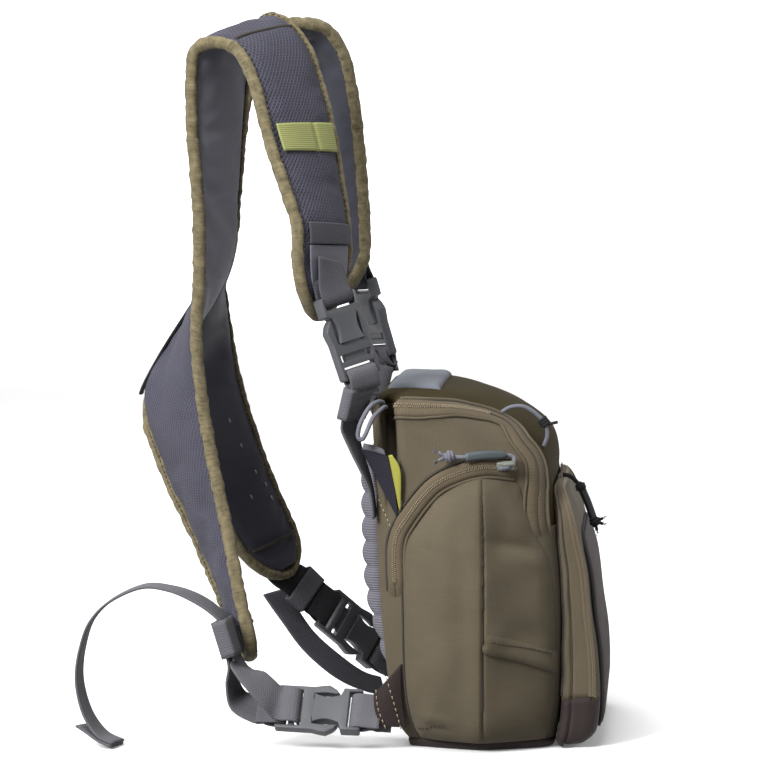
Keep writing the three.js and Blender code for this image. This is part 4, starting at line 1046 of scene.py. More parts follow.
# %% [markdown]
# ## Front pocket
#
# The front pocket is a shallow box of cloth with rounded upper corners. Its gusset is gathered at the top,
# a piping and a zip run round it, its foot is coated brown cloth, and a smooth dark panel covers its face.
# All of them are rings of one outline, drawn in and pushed forward step by step.

# %% Rings of the front pocket
POCKET_DEPTHS = Route([[3, 18.5], [12, 20.5], [46, 18.7], [70, 15.5], [93, 14], [108, 11.5],
                       [120, 9.5], [130, 7], [136, 4]], measured=1)
FRONT_OUTLINE = {"low": 3, "high": 136, "half_low": 86, "half_high": 78}
ROUND_LOW, ROUND_HIGH = 9, 26
FRONT_LIFT = 0.6


def front_ring(depth_share, inset, lift=0.0, high=FRONT_OUTLINE["high"]):
    """One ring of the front pocket: how far forward it lies and how far it is drawn in."""
    low = FRONT_OUTLINE["low"] + inset
    top = high - inset
    wide, slim = FRONT_OUTLINE["half_low"] - inset, FRONT_OUTLINE["half_high"] - inset
    corners = [(0, low, 0), (wide, low, ROUND_LOW), (slim, top, ROUND_HIGH), (-slim, top, ROUND_HIGH),
               (-wide, low, ROUND_LOW)]
    ring = rounded_ring(corners, 9, [20, 30, 40, 30, 20])
    y, z = ring[:, 0], ring[:, 1]
    level = level_table.level(np.clip(z, 5, high))
    crown = level[:, 8] * np.maximum(0, 1 - (y / level[:, 6]) ** 2)
    x = level[:, 3] + crown + FRONT_LIFT + lift + depth_share * POCKET_DEPTHS.level(z)[:, 1]
    return np.column_stack([x, y, z])


def with_middle(rows):
    """Adds a last row that is drawn together to one point, so that a dish closes."""
    return np.concatenate([rows, np.broadcast_to(rows[-1].mean(axis=0), rows[-1:].shape)])


print("the front pocket is", round(float(np.ptp(front_ring(0, 0)[:, 1]))), "mm wide")

# %% Gathered cloth and foot of the front pocket
GUSSET_STEPS = [
    # share of the depth, inset
    [0.0, 0.6], [0.04, -1.0], [0.1, -2.3], [0.18, -2.7], [0.24, -2.0], [0.27, -1.0], [0.3, -1.6],
    [0.4, -1.5], [0.5, -1.3], [0.62, -1.2], [0.72, -0.9], [0.8, -0.4], [0.88, 0.6], [0.95, 2.2],
    [0.99, 4.5], [1.0, 8], [1.03, 18], [1.05, 30], [1.05, 45], [1.05, 58],
]
GATHERS, GATHERS_FROM, GATHER_HEIGHT = 74, 112, 0.7
FOOT_TOP = 26
front_rows = np.array([front_ring(share, inset) for share, inset in GUSSET_STEPS])
around = np.linspace(0, 1, front_rows.shape[1])
gathers = np.sin(around * 2 * math.pi * GATHERS) * np.clip((front_rows[..., 2] - GATHERS_FROM) / 20, 0, 1)
gusset_share = np.array([share for share, _ in GUSSET_STEPS])[:, None]
front_rows[..., 2] += gathers * GATHER_HEIGHT * np.exp(-((gusset_share - 0.2) / 0.16) ** 2)
front_rows[..., 0] += waves(front_rows, size=19, height=0.5) * np.clip(gusset_share * 3, 0, 1)
front_rows[..., 1] += waves(front_rows + 40, size=16, height=0.45)
puckers = waves(front_rows, size=5, height=1.0) * np.exp(-((gusset_share - 0.14) / 0.12) ** 2)
front_rows[..., 0] -= puckers
front_rows[..., 1] += puckers * np.sign(front_rows[..., 1])
front_mesh = sheet_mesh(with_middle(front_rows), wrap=True, inside=(30, 0, 70))
front_surface = Surface(front_mesh)
foot_mesh = front_mesh.copy()
for mesh, keep_low in ((front_mesh, False), (foot_mesh, True)):
    wrong = [f for f in mesh.faces if (f.calc_center_median().z < FOOT_TOP * MM) != keep_low]
    bmesh.ops.delete(mesh, geom=wrong, context="FACES")
make_piece("front_pocket_cloth", front_mesh, ["body"], ["front_pocket"], thick=1.4)
make_piece("front_foot_cloth", foot_mesh, ["brown"], ["front_pocket_base"], thick=1.4)

# %% Smooth panel on the front
PANEL_TOP = 118
PANEL_STEPS = [
    # share of the depth, inset, lift
    [1.0, 9.3, 0.2], [1.0, 8.5, 0.9], [1.0, 8.4, 1.6], [1.0, 9.0, 2.2], [1.01, 11, 2.5],
    [1.03, 14, 2.5], [1.05, 20, 2.5], [1.07, 30, 2.5], [1.07, 42, 2.6], [1.07, 50, 2.6],
]
panel_rows = np.array([front_ring(share, inset, lift, PANEL_TOP) for share, inset, lift in PANEL_STEPS])
panel_mesh = sheet_mesh(with_middle(panel_rows), wrap=True, inside=(30, 0, 60))
make_piece("front_panel_cloth", panel_mesh, ["panel"], ["front_panel"], thick=1.2)

# %% [markdown]
# Piping covers the seams: a dark one where the gusset is joined, a black cord round the panel, and at the
# root, where the pocket meets the bag, a dark tube of painted shade in that seam. The zip is a narrow tape
# with teeth. It runs over the top from one end of the foot to the other. All of them are laid on rings of
# the same outline as the cloth.

# %% Piping and zip of the front pocket
FRONT_TAPE_OFFSETS = [-3.2, -2.8, -1, 0, 1, 2.8, 3.2]
FRONT_TAPE_LIFTS = [-0.3, 0.5, 0.8, 0.6, 0.8, 0.5, -0.3]


def upper_part(ring, low):
    """The part of a ring above a level, from one foot over the top to the other."""
    return ring[ring[:, 2] > low]


def on_front(ring):
    """The part of a ring above the foot, laid on the pocket's cloth."""
    return np.array([front_surface.nearest(point)[0] for point in upper_part(ring, FOOT_TOP)])


panel_edge = front_ring(1.0, 7.7, 0.8, PANEL_TOP + 1)
tube_piece("front_piping", on_front(front_ring(0.27, -1.2)), 0.5, "dark_thread_and_painted_shade")
tube_piece("front_panel_piping", np.vstack([panel_edge, panel_edge[1:3]]), 0.8, "black_cord")
# A dark tube where the pocket meets the bag: painted shade in that seam.
tube_piece("front_root_seam_shade", on_front(front_ring(0.02, 0.2)), 0.9, "dark_thread_and_painted_shade")

front_zip_line = upper_part(front_ring(0.84, 0.1), FOOT_TOP + 1)
front_tape = front_surface.tape(front_zip_line, FRONT_TAPE_OFFSETS, FRONT_TAPE_LIFTS)
make_piece("front_zip_tape", sheet_mesh(front_tape, inside=(40, 0, 60)), ["tape"], ["front_zip"])
front_teeth = bmesh.new()
add_teeth(front_teeth, front_surface, front_zip_line, 0.85, ARCH_TOOTH, 1.05)
make_piece("front_zip_teeth", front_teeth, ["coil"])
print("front pocket zip is", round(Route(front_zip_line).length), "mm long")

# %% [markdown]
# ## Foam patch and back pad
#
# The patch on the lid is a strip of soft foam, made to be pinned into. The back pad is foam under ribbed
# cloth, quilted into level rolls that lie against the chest. Both are a grid laid over the skin by rays,
# lifted by a profile that rises steeply at the rim, and the pad adds one round roll for each seam.

# %% Foam patch on the lid
PATCH_BACK, PATCH_FRONT, PATCH_HALF = -50, -21, 58
PATCH_THICK, PATCH_SUNK = 2.7, 1.0
PATCH_ROWS, PATCH_COLUMNS, PATCH_SMOOTHINGS = 44, 120, 12
patch_x = np.linspace(PATCH_BACK, PATCH_FRONT, PATCH_ROWS)
patch_y = np.linspace(-PATCH_HALF, PATCH_HALF, PATCH_COLUMNS)


def rim(share, steep=9):
    """Rises from 0 at both ends of a span to 1 in its middle. share runs from 0 to 1."""
    return 1 - np.abs(2 * share - 1) ** steep


rim_back_to_front = rim(np.linspace(0, 1, PATCH_ROWS))
rim_across = rim(np.linspace(0, 1, PATCH_COLUMNS), 24)
patch_rise = np.sqrt(np.maximum(0, np.outer(rim_back_to_front, rim_across)))
patch_seats = np.array([[skin.hit((x, y, 300), (0, 0, -1))[0] for y in patch_y] for x in patch_x])
for _ in range(PATCH_SMOOTHINGS):
    level = patch_seats[..., 2]
    patch_seats[1:-1, :, 2] = (level[:-2] + 2 * level[1:-1] + level[2:]) / 4
patch_seats[..., 2] += patch_rise * (PATCH_THICK + PATCH_SUNK + waves(patch_seats, 6, 0.3)) - PATCH_SUNK
patch_mesh = sheet_mesh(patch_seats, inside=(0, 0, 90))
patch_foam = make_piece("patch_foam", patch_mesh, ["foam"], ["fly_patch"], thick=0.8)

# %% Back pad
BACK_FACE = Route([[42, -49.5], [57, -54], [75, -59], [100, -61.5], [147, -62], [156, -58]], measured=1)
BACK_HALF, BACK_LOW, BACK_HIGH = 74, 42, 156
ROLL_PITCH, ROLL_RISE = 13, 2.6
BACK_ROWS, BACK_COLUMNS = 150, 90
back_y = np.linspace(-BACK_HALF, BACK_HALF, BACK_COLUMNS)
back_z = np.linspace(BACK_LOW, BACK_HIGH, BACK_ROWS)
back_rim = np.outer(rim(np.linspace(0, 1, BACK_ROWS), 30), rim(np.linspace(0, 1, BACK_COLUMNS), 16)) ** 0.5
rolls = np.abs(np.sin((back_z - BACK_LOW) * math.pi / ROLL_PITCH)) ** 0.7 * ROLL_RISE
back_points = np.array([[skin.hit((-300, y, z), (1, 0, 0))[0] for y in back_y] for z in back_z])
back_lift = back_points[..., 0] - BACK_FACE.level(back_z)[:, 1:] + rolls[:, None] - 0.8
back_points[..., 0] -= np.maximum(back_lift, 1.5) * back_rim - 0.2
back_mesh = sheet_mesh(back_points, inside=(0, 0, 90))
back_pad = make_piece("back_pad", back_mesh, ["back"], ["back_panel"], thick=0.9)

# %% [markdown]
# Behind the near corner a flat stash pocket is sewn in: a navy gusset with a lime lining that shows at its
# mouth. Lower down, a brown tab of coated cloth anchors the waist strap. These are flat patches between
# two edges, with a slight bow, and a pale stitch line along the tab's free edge.

# %% Flat patches between two edges
def patch_points(first_edge, second_edge, rows, columns, bow):
    """A patch between two edges that bows outwards in the middle."""
    first, second = Route(first_edge).spread(columns), Route(second_edge).spread(columns)
    share = np.linspace(0, 1, rows)[:, None, None]
    points = first * (1 - share) + second * share
    bulge = np.outer(np.sin(np.linspace(0, math.pi, rows)), np.sin(np.linspace(0, math.pi, columns)))
    return points + np.stack([0 * bulge, bow * bulge, 0 * bulge], axis=-1)


def mirrored(rows, side):
    """Points drawn for the far side, on either side."""
    return [[x, side * y, z] for x, y, z in rows]


def side_patch(edges, side, rows, columns, bow):
    """A patch on one side of the bag, between edges that are drawn for the far side."""
    return patch_points(*(mirrored(edge, side) for edge in edges), rows, columns, side * bow)


print("patch tool ready")

# %% Stash pocket and strap tabs
GUSSET_EDGES = [[[-61.5, 91, 158.5], [-52, 93.5, 141], [-42, 98, 123]],
                [[-47, 96, 155], [-43.5, 98, 140], [-41.6, 98.6, 124]]]
STASH_TAPE_EDGES = [[[-60.5, 92, 158], [-54.5, 94, 157], [-48, 96.4, 155.4]],
                    [[-59.8, 92, 161.4], [-54, 94, 160.4], [-49, 96, 158.4]]]
STASH_STITCHES = [[-51.5, 131], [-48.5, 124.5], [-45.8, 118.5]]
LINING_EDGES = [[[-46.4, 98, 155.5], [-43.4, 99, 141], [-40.7, 99.6, 127]],
                [[-44.5, 98.6, 156], [-39.8, 99.8, 147], [-40, 100, 127]]]
TAB_EDGES = [[[-39.5, 98, 46], [-38.8, 97.4, 28], [-37, 96, 12]],
             [[-54, 100.8, 30], [-53.4, 100.8, 22], [-50, 100.4, 13]]]
TAB_STITCH_INSETS = (2.0, 10.5)
tab_thread = bmesh.new()
for name, side in SIDES.items():
    gusset = side_patch(GUSSET_EDGES, side, 12, 24, -0.8)
    make_piece(f"stash_cloth_{name}", sheet_mesh(gusset, inside=(0, 0, 140)), ["navy"],
               [f"stash_gusset_{name}"], thick=0.9)
    stash_tape = side_patch(STASH_TAPE_EDGES, side, 6, 16, 0.4)
    make_piece(f"stash_tape_{name}", sheet_mesh(stash_tape, inside=(0, 0, 140)), ["webbing"],
               thick=0.9)
    stash_line = np.array([skin.from_side(x, z, side)[0] for x, z in STASH_STITCHES])
    add_stitches(tab_thread, skin, stash_line, pitch=2.3, length=1.7)
    tab_mesh = sheet_mesh(side_patch(TAB_EDGES, side, 16, 24, 1.2), inside=(0, 0, 30))
    tab_surface = Surface(tab_mesh)
    inner, edge = (np.array(mirrored(rows, side)) for rows in TAB_EDGES)
    for inset in TAB_STITCH_INSETS:
        line = edge + unit(inner - edge) * inset
        add_stitches(tab_thread, tab_surface, line, pitch=2.8, length=2.0, lift=0.2)
    make_piece(f"strap_tab_{name}", tab_mesh, ["brown"], [f"wing_tab_{name}"], thick=1.8)
lining_mesh = sheet_mesh(side_patch(LINING_EDGES, NEAR, 8, 24, 0.6), inside=(0, 0, 140))
make_piece("lime_lining_near", lining_mesh, ["lime"], ["stash_lining_near"], thick=0.8)
make_piece("tab_stitches", tab_thread, ["thread"])

# %% [markdown]
# ## Shoulder harness
#
# Each half of the harness is one padded strap: up from the front buckle, over the shoulder, down the back,
# and round to the waist as a wing. The two halves are sewn together along the spine. Its shape is a table
# of sections, each with the edge by the arm and the edge by the neck. Outside it is an open diamond net,
# inside a smooth dark lining, and a fuzzy tape binds the edges.

# %% Sections of the harness
PAD_NEAR = [
    # edge by the arm, edge by the neck
    [-90.5, -98, 228, -78, -60, 226], [-93.5, -99, 254, -72, -60, 253], [-94.5, -97, 276, -72, -58, 273],
    [-102, -93, 298, -75, -54, 293], [-110, -88, 321, -80, -49, 321], [-117, -82, 346, -86, -43, 345],
    [-126, -76, 365, -95, -37, 369], [-139, -70, 371, -108, -32, 383], [-151, -65, 367, -119, -28, 382],
    [-153.5, -62, 353, -127, -24, 365], [-153.5, -60, 325, -131, -20, 335],
    [-150.5, -58, 282, -135, -14, 292], [-150.5, -56, 245, -141, -7, 253],
    [-152, -56, 213, -161.5, -0.4, 222.5], [-148, -58, 176, -185.5, -0.4, 181.5],
    [-141, -63, 141, -173.5, -14, 141], [-133, -71, 108, -153, -28, 102], [-126, -81, 77, -140, -42, 75],
    [-117, -88, 46, -128, -50, 44],
]
PAD_FAR = [
    [-99, 97, 232, -79, 60, 230], [-95, 99, 255, -71, 60, 253], [-95, 97, 275, -70.5, 58, 273],
    [-98, 93, 303, -72, 54, 302], [-103, 88, 331, -74.5, 49, 332], [-110, 82, 354, -79, 43, 360],
    [-117, 76, 368, -86, 37, 376], [-127, 70, 374, -95, 32, 382], [-142, 65, 371, -111, 27, 382],
    [-151, 62, 357, -125, 23, 370], [-153, 60, 327, -133.5, 19, 338], [-152, 58, 283, -138.5, 14, 293],
    [-152, 56, 246, -143, 7, 254], [-148, 56, 214, -160.5, 0.4, 222.5], [-141, 58, 178, -184.5, 0.4, 181.5],
    [-129, 62, 139, -164, 14, 141], [-117, 66, 109, -144, 28, 100], [-104, 70, 80, -124, 42, 70],
]
print("harness sections:", len(PAD_NEAR), "near,", len(PAD_FAR), "far")

# %% Points of a padded strap
END_ROUND, BINDING_INSET = 22, 1.7
PAD_MIDDLE_HALF, PAD_EDGE_HALF = 4.2, 2.3
SPINE_SPAN = [298, 312, 366, 378]
LOOK_AHEAD = 3


def pad_half(share):
    """Half the thickness of the pad, thinner towards its edges."""
    return PAD_MIDDLE_HALF + (PAD_EDGE_HALF - PAD_MIDDLE_HALF) * np.abs(share) ** 3


class HarnessHalf:
    """One padded strap, read by a distance from its front end, a share across and a lift off its middle."""

    def __init__(self, table, side):
        self.route = Route(table)
        self.length = self.route.length
        self.side = side

    def section(self, distance):
        """The middle, the ways across and outward, and the half widths with and without the binding."""
        row = self.route.at(distance)
        after = self.route.at(np.minimum(distance + LOOK_AHEAD, self.length))
        ahead = after - self.route.at(np.maximum(distance - LOOK_AHEAD, 0))
        arm, neck = row[..., :3], row[..., 3:]
        across = unit(neck - arm)
        way = unit(ahead[..., :3] + ahead[..., 3:])
        outward = unit(np.cross(across, way)) * -self.side
        full = np.linalg.norm(neck - arm, axis=-1)[..., None] / 2
        to_end = np.minimum(np.minimum(distance, self.length - distance), END_ROUND)[..., None]
        edge = full * np.sqrt(1 - ((END_ROUND - to_end) / END_ROUND) ** 2)
        pad_round = END_ROUND - BINDING_INSET
        pad = (full - BINDING_INSET) * np.sqrt(np.maximum(0, 1 - ((END_ROUND - to_end) / pad_round) ** 2))
        return (arm + neck) / 2, across, outward, edge, pad

    def point(self, distance, share, lift):
        distance = np.asarray(distance, float)
        centre, across, outward, edge, pad = self.section(distance)
        sewn = np.interp(distance, SPINE_SPAN, [0, 1, 1, 0])[..., None] * (share > 0)
        return centre + across * (pad + (edge - 0.2 - pad) * sewn) * share + outward * lift

    def face(self, distance, share, lift=0.0):
        """A point on the outer face of the pad."""
        return self.point(distance, share, pad_half(share) + lift)

    def stations(self, first, count, step):
        """Distances along the strap, closer together at its rounded ends."""
        at_end = np.geomspace(first, END_ROUND, count)
        between = np.arange(END_ROUND, self.length - END_ROUND, step)
        return np.concatenate([at_end[:-1], between, self.length - at_end[::-1]])


halves = {"near": HarnessHalf(PAD_NEAR, NEAR), "far": HarnessHalf(PAD_FAR, FAR)}
print("strap lengths:", {name: round(half.length) for name, half in halves.items()}, "mm")

# %% [markdown]
# A pad is a closed sheet with foam in it, sewn shut along its edges. Foam pushes the cloth out between the
# seams, so each pad is left to swell in a short cloth simulation that holds its sewn edges. A limit keeps
# the swell small, and the finished points are kept, so nothing is simulated later.

# %% Swelling of a padded piece
SWELL_FRAMES = 20


def swell(piece, pinned, pressure, slack, limit):
    """A short cloth simulation: the piece swells between its sewn points, and its cloth has some slack."""
    before = np.array([vert.co for vert in piece.data.vertices])
    sewn = piece.vertex_groups.new(name="sewn")
    sewn.add([int(k) for k in np.flatnonzero(pinned)], 1.0, "REPLACE")
    cloth_step = piece.modifiers.new("swell", "CLOTH")
    cloth_step.settings.vertex_group_mass = "sewn"
    cloth_step.settings.quality = 6
    cloth_step.settings.use_pressure = True
    cloth_step.settings.uniform_pressure_force = pressure
    cloth_step.settings.shrink_min = -slack
    cloth_step.settings.effector_weights.gravity = 0
    cloth_step.collision_settings.use_collision = False
    for step in range(1, SWELL_FRAMES + 1):
        scene.frame_set(step)
    swollen = piece.evaluated_get(bpy.context.evaluated_depsgraph_get()).data
    move = np.array([vert.co for vert in swollen.vertices]) - before
    reach = np.linalg.norm(move, axis=1, keepdims=True)
    print(piece.name, "swells by", np.round(np.percentile(reach, [50, 90, 100]) / MM, 2), "mm")
    move *= np.minimum(1, limit * MM / np.maximum(reach, 1e-9))
    piece.modifiers.remove(cloth_step)
    piece.vertex_groups.remove(sewn)
    piece.data.vertices.foreach_set("co", (before + move).ravel())
    scene.frame_set(1)


def round_off(piece, levels):
    rounding = piece.modifiers.new("rounding", "SUBSURF")
    rounding.levels = levels
    rounding.render_levels = levels


print("swelling takes", SWELL_FRAMES, "steps")

# %% Pads
PAD_STEP, PAD_COLUMNS = 3.2, 13
PAD_FIRST, PAD_END_ROWS = 3.9, 9
PINNED_WITHIN = 3.4
PAD_SWELL = {"pressure": 4.0, "slack": 0.03, "limit": 1.6}


def pad_rows(half):
    """Rows round the pad: over its outer face, and back over its inner face."""
    shares = np.sin(np.linspace(-math.pi / 2, math.pi / 2, PAD_COLUMNS))
    rows = []
    for distance in half.stations(PAD_FIRST, PAD_END_ROWS, PAD_STEP):
        outer = [half.point(distance, share, pad_half(share)) for share in shares]
        inner = [half.point(distance, share, -pad_half(share)) for share in shares[::-1]]
        rows.append([*outer, *inner, outer[0]])
    return closed_ends(np.array(rows))


def paint_pad(row, column):
    """Net on the outer face, lining on the inner one."""
    return 0 if column < PAD_COLUMNS else 1


for name, half in halves.items():
    pad_mesh = sheet_mesh(pad_rows(half), wrap=True, paint=paint_pad)
    # The far half's lining is the darker copy: painted shade.
    lining_finish = "lining" if half.side == NEAR else "shade_lining"
    pad = make_piece(f"shoulder_pad_{name}", pad_mesh, ["net", lining_finish],
                     [f"harness_pad_{name}"])
    edge_distance = np.linspace(0, half.length, 400)
    edges = np.vstack([half.point(edge_distance, share, 0) for share in (-1, 1)])
    spots = np.array([vert.co for vert in pad.data.vertices]) / MM
    to_edge = np.array([np.min(np.sum((edges - spot) ** 2, axis=1)) for spot in spots])
    swell(pad, to_edge < PINNED_WITHIN ** 2, **PAD_SWELL)
    round_off(pad, 1)

# %% [markdown]
# A fuzzy tape is folded over the edge of each pad and sewn through, so it has an oval section, is puckered
# by its stitches, and gets wider on the wings. It is a tube along the edge with a wavering thickness. Its
# ends taper, because they tuck in under the tape on the spine.

# %% Line of the bindings
BINDING_HALF, WING_BINDING_HALF, BINDING_THICK = 2.7, 4.6, 3.5
BINDING_FIRST, BINDING_END_ROWS, BINDING_STEP = 0.05, 14, 2.0
NOTCH_DISTANCE, CROTCH_LEVEL = 326, 181
WIDER_FROM, WIDER_TO = 14, 30


def binding_line(half):
    """Points round the edge of one half, the ways out of its face and into the pad, and half widths."""
    distances = half.stations(BINDING_FIRST, BINDING_END_ROWS, BINDING_STEP)
    centre, across, outward, edge, _ = half.section(distances)
    neck, arm = centre + across * edge, centre - across * edge
    front = distances < NOTCH_DISTANCE
    wing = ~front & (neck[:, 2] < CROTCH_LEVEL)
    line = np.vstack([neck[front][::-1], arm, neck[wing][::-1]])
    faces = np.vstack([outward[front][::-1], outward, outward[wing][::-1]])
    inward = np.vstack([-across[front][::-1], across, -across[wing][::-1]])
    on_wing = np.arange(len(line)) - (len(line) - np.count_nonzero(wing))
    half_width = np.interp(on_wing, [WIDER_FROM, WIDER_TO], [BINDING_HALF, WING_BINDING_HALF])
    wider = (half_width - BINDING_HALF)[:, None]
    return line + (inward + faces / 2) * wider, faces, inward, half_width


def half_thick(half_width):
    """Half the thickness of the folded tape: where it is wider, it also reaches further over the face."""
    return BINDING_THICK + (half_width - BINDING_HALF) / 2


print("the near binding runs through", len(binding_line(halves["near"])[0]), "points")

# %% Bindings and their stitches
BINDING_SIDES = 14
TAPER_POINTS, TAPER_TO = 7, 0.3
BINDING_STITCH = {"pitch": 3.0, "share": 0.63, "lift": 0.83, "size": (2.0, 0.5, 0.5), "bare_ends": 6}


def stitch_row(bm, line, faces, inward, half_width, side):
    """A row of stitches along the inner edge of a binding, on its outer or inner face."""
    route = Route(np.hstack([line, faces, inward, half_width[:, None]]))
    rows = route.spread(round(route.length / BINDING_STITCH["pitch"]))
    rows = rows[BINDING_STITCH["bare_ends"]:-BINDING_STITCH["bare_ends"]]
    for row, way in zip(rows, tangents(rows[:, :3])):
        spot, face, inner = row[:3], unit(row[3:6]), unit(row[6:9] - way * way.dot(row[6:9]))
        lift = half_thick(row[9]) * BINDING_STITCH["lift"]
        at = spot + inner * row[9] * BINDING_STITCH["share"] + face * side * lift
        add_block(bm, at, way, inner, BINDING_STITCH["size"])


binding_stitches = bmesh.new()
for name, half in halves.items():
    line, faces, inward, half_width = binding_line(half)
    for side in (-1, 1):
        stitch_row(binding_stitches, line, faces, inward, half_width, side)
    away = unit(np.cross(tangents(line), faces))
    angles = np.linspace(0, 2 * math.pi, BINDING_SIDES + 1)
    count = np.arange(len(line))
    pucker = (1 + 0.06 * np.sin(count * 2.1) + 0.06 * np.sin(count * 0.83 + 1)
              + 0.04 * np.sin(count * 1.37 + 2))
    line = line + away * (0.2 * np.sin(count * 0.47) + 0.12 * np.sin(count * 1.73 + 0.5))[:, None]
    taper = np.interp(np.minimum(count, count[::-1]), [0, TAPER_POINTS], [TAPER_TO, 1])[:, None]
    rows = np.stack([
        line + away * taper * half_width[:, None] * math.cos(angle)
        + faces * taper * half_thick(half_width)[:, None] * math.sin(angle) * pucker[:, None]
        for angle in angles
    ], axis=1)
    make_piece(f"edge_binding_{name}", sheet_mesh(closed_ends(rows), wrap=True), ["binding"],
               [f"harness_binding_{name}"])
# The stitches' dark colour is painted shade of the gap beside the binding.
make_piece("binding_stitches", binding_stitches, ["binding_thread_and_painted_shade"])

# %% [markdown]
# A seam crosses each strap on the shoulder, another crosses the inside of the wing near its end, and a few
# pale bar tacks hold the lining there. The seams are thin tubes on the pad and the tacks are small blocks.

# %% Seams and tacks on the pads
TOP_SEAM, WING_SEAM_TO_END = 154, 19.6
SEAM_LIFT, TACK_LIFT = 1.1, 1.6
TACK_SIZE = (2.4, 0.8, 0.6)
# Distance from the wing's end, share across
TACKS = [[87, -0.4], [72, -0.4], [57, -0.5], [49.5, -0.65], [45, 0.0], [42, -0.65]]
tack_mesh = bmesh.new()
for name, half in halves.items():
    shares = np.linspace(-0.9, 0.9, 24)
    across_top = np.array([half.face(TOP_SEAM, share, SEAM_LIFT) for share in shares])
    wing_end = half.length - WING_SEAM_TO_END
    across_wing = np.array([half.point(wing_end, share, -pad_half(share) - SEAM_LIFT) for share in shares])
    tube_piece(f"top_seam_{name}", across_top, 0.9, "dark_thread_and_painted_shade")
    tube_piece(f"wing_seam_{name}", across_wing, 0.9, "dark_thread_and_painted_shade")
    for to_end, share in TACKS:
        distance, lift = half.length - to_end, -pad_half(share) - TACK_LIFT
        spot = half.point(distance, share, lift)
        ahead = half.point(distance + 1, share, lift) - spot
        add_block(tack_mesh, spot, ahead, half.section(distance)[1], TACK_SIZE)
make_piece("wing_tacks", tack_mesh, ["pale_thread"])

# %% [markdown]
# Bands are sewn across the outer face of each strap: a lime one with a pinched loop, a dark elastic one
# that tidies the webbing, and a smooth patch where the webbing starts. Each is a strip laid on the pad and
# thickened by a modifier. A short black tape, made as a ribbon, covers the seam on the spine.

# %% Bands across the straps
def band_points(half, start, end, reach, lift, pinch=0.0, rows=14, columns=41):
    """Rows of a band across the outer face. pinch pulls a narrow fold into it beside the middle."""
    shares = np.linspace(-1, 1, columns)
    fold = np.exp(-((shares - 0.24) / 0.06) ** 2)
    return np.array([
        [half.face(distance + pinch * 0.5 * f * math.sin(row * math.pi), share * reach, lift - pinch * f)
         for share, f in zip(shares, fold)]
        for row, distance in zip(np.linspace(0, 1, rows), np.linspace(start, end, rows))
    ])


BANDS = {
    # start, end, reach across, lift, pinch, finish, slot, solid
    "lime_band": (88, 103, 0.93, 2.6, 0.9, "lime_web", "lime", "lime_tab"),
    "elastic_band": (38, 49, 0.9, 3.0, 0.0, "dark_web", "webbing", "elastic_keeper"),
    "smooth_patch": (17, 37.4, 0.84, 1.7, 0.0, "lining", "webbing", None),
}
for name, half in halves.items():
    for band, (start, end, reach, lift, pinch, finish, slot, solid) in BANDS.items():
        points = band_points(half, start, end, reach, lift, pinch)
        behind = (half.point(start, 0, 0) + half.point(end, 0, 0)) / 2
        make_piece(f"{band}_{name}", sheet_mesh(points, inside=behind), [finish],
                   [f"{solid}_{name}"] if solid else [], thick=0.9)

# %% Tape on the spine
SPINE_EDGE = Route([[169, -187.5], [181.5, -185.5], [203, -174], [222.5, -161.5], [236, -152.5],
                    [244, -147]], measured=1)
SPINE_LOW, SPINE_HIGH = 178.5, 241
SPINE_WIDTH, SPINE_THICK = 11, 1.4
SPINE_LIFT = np.array([-2.6, 0, 1.5])
spine_z = np.linspace(SPINE_LOW, SPINE_HIGH, 40)
spine_line = np.column_stack([SPINE_EDGE.level(spine_z)[:, 1], 0 * spine_z, spine_z]) + SPINE_LIFT
spine_across = np.broadcast_to((0.0, 1.0, 0.0), spine_line.shape)
spine_points = ribbon_points(spine_line, spine_across, SPINE_WIDTH, SPINE_THICK)
make_piece("spine_seam_tape", sheet_mesh(spine_points, wrap=True), ["black_cord"], ["spine_tape"])

# %% [markdown]
# ## Buckles
#
# The four side-release buckles are hard plastic and are already exact in the solids, so each is a copy of
# its solid whose doubled points are merged and whose sharp edges are bevelled, as a mould would leave
# them. Cuts across them give their long sides points to bend: the socket is drawn in to a waist, and the
# prong's two arms bow out beside it. A buckle's frame gives points along, across and above it.

# %% Buckle frames
BUCKLE_LENGTH = 45
BUCKLES = {
    # middle, direction along, direction across
    "front_near": ([-68.3, -91.2, 217.5], [-14, 2, 41], [0.7, 0.7, 0.2]),
    "front_far": ([-69, 85, 218], [-10, -4, 36], [0.6, -0.78, 0.1]),
    "low_near": ([-83, -95, 20.5], [1, -0.04, -0.04], [0, 0.6, 0.8]),
    "low_far": ([-79, 83, 40], [0.66, 0.41, -0.63], [0.4, 0.45, 0.8]),
}
ARM_SPAN = (20.0, 33.4)
ARM_INSIDE = 7.0


class BuckleFrame:
    """Points of a buckle: along it from the prong's end, across it, and above its face."""

    def __init__(self, middle, along, across):
        self.middle = np.array(middle, float)
        self.along = unit(np.array(along, float))
        across = np.array(across, float)
        self.across = unit(across - self.along * across.dot(self.along))
        self.up = np.cross(self.along, self.across)

    def point(self, x, y, z):
        return self.middle + self.along * (x - BUCKLE_LENGTH / 2) + self.across * y + self.up * z

    def curve_sides(self, bm, depth):
        """Draws the long sides of a mesh in along the arms, or bows them out where depth is below 0."""
        for x in np.linspace(*ARM_SPAN, 9):
            bmesh.ops.bisect_plane(bm, geom=[*bm.verts, *bm.edges, *bm.faces], dist=1e-7,
                                   plane_co=self.point(x, 0, 0) * MM, plane_no=self.along)
        for vert in bm.verts:
            place = np.array(vert.co) / MM - self.middle
            share = (place.dot(self.along) + BUCKLE_LENGTH / 2 - ARM_SPAN[0]) / (ARM_SPAN[1] - ARM_SPAN[0])
            y = place.dot(self.across)
            if 0 < share < 1 and abs(y) > ARM_INSIDE:
                vert.co -= Vector(self.across * np.sign(y) * depth * math.sin(math.pi * share) * MM)


buckles = {name: BuckleFrame(*place) for name, place in BUCKLES.items()}
print("buckles:", list(buckles))

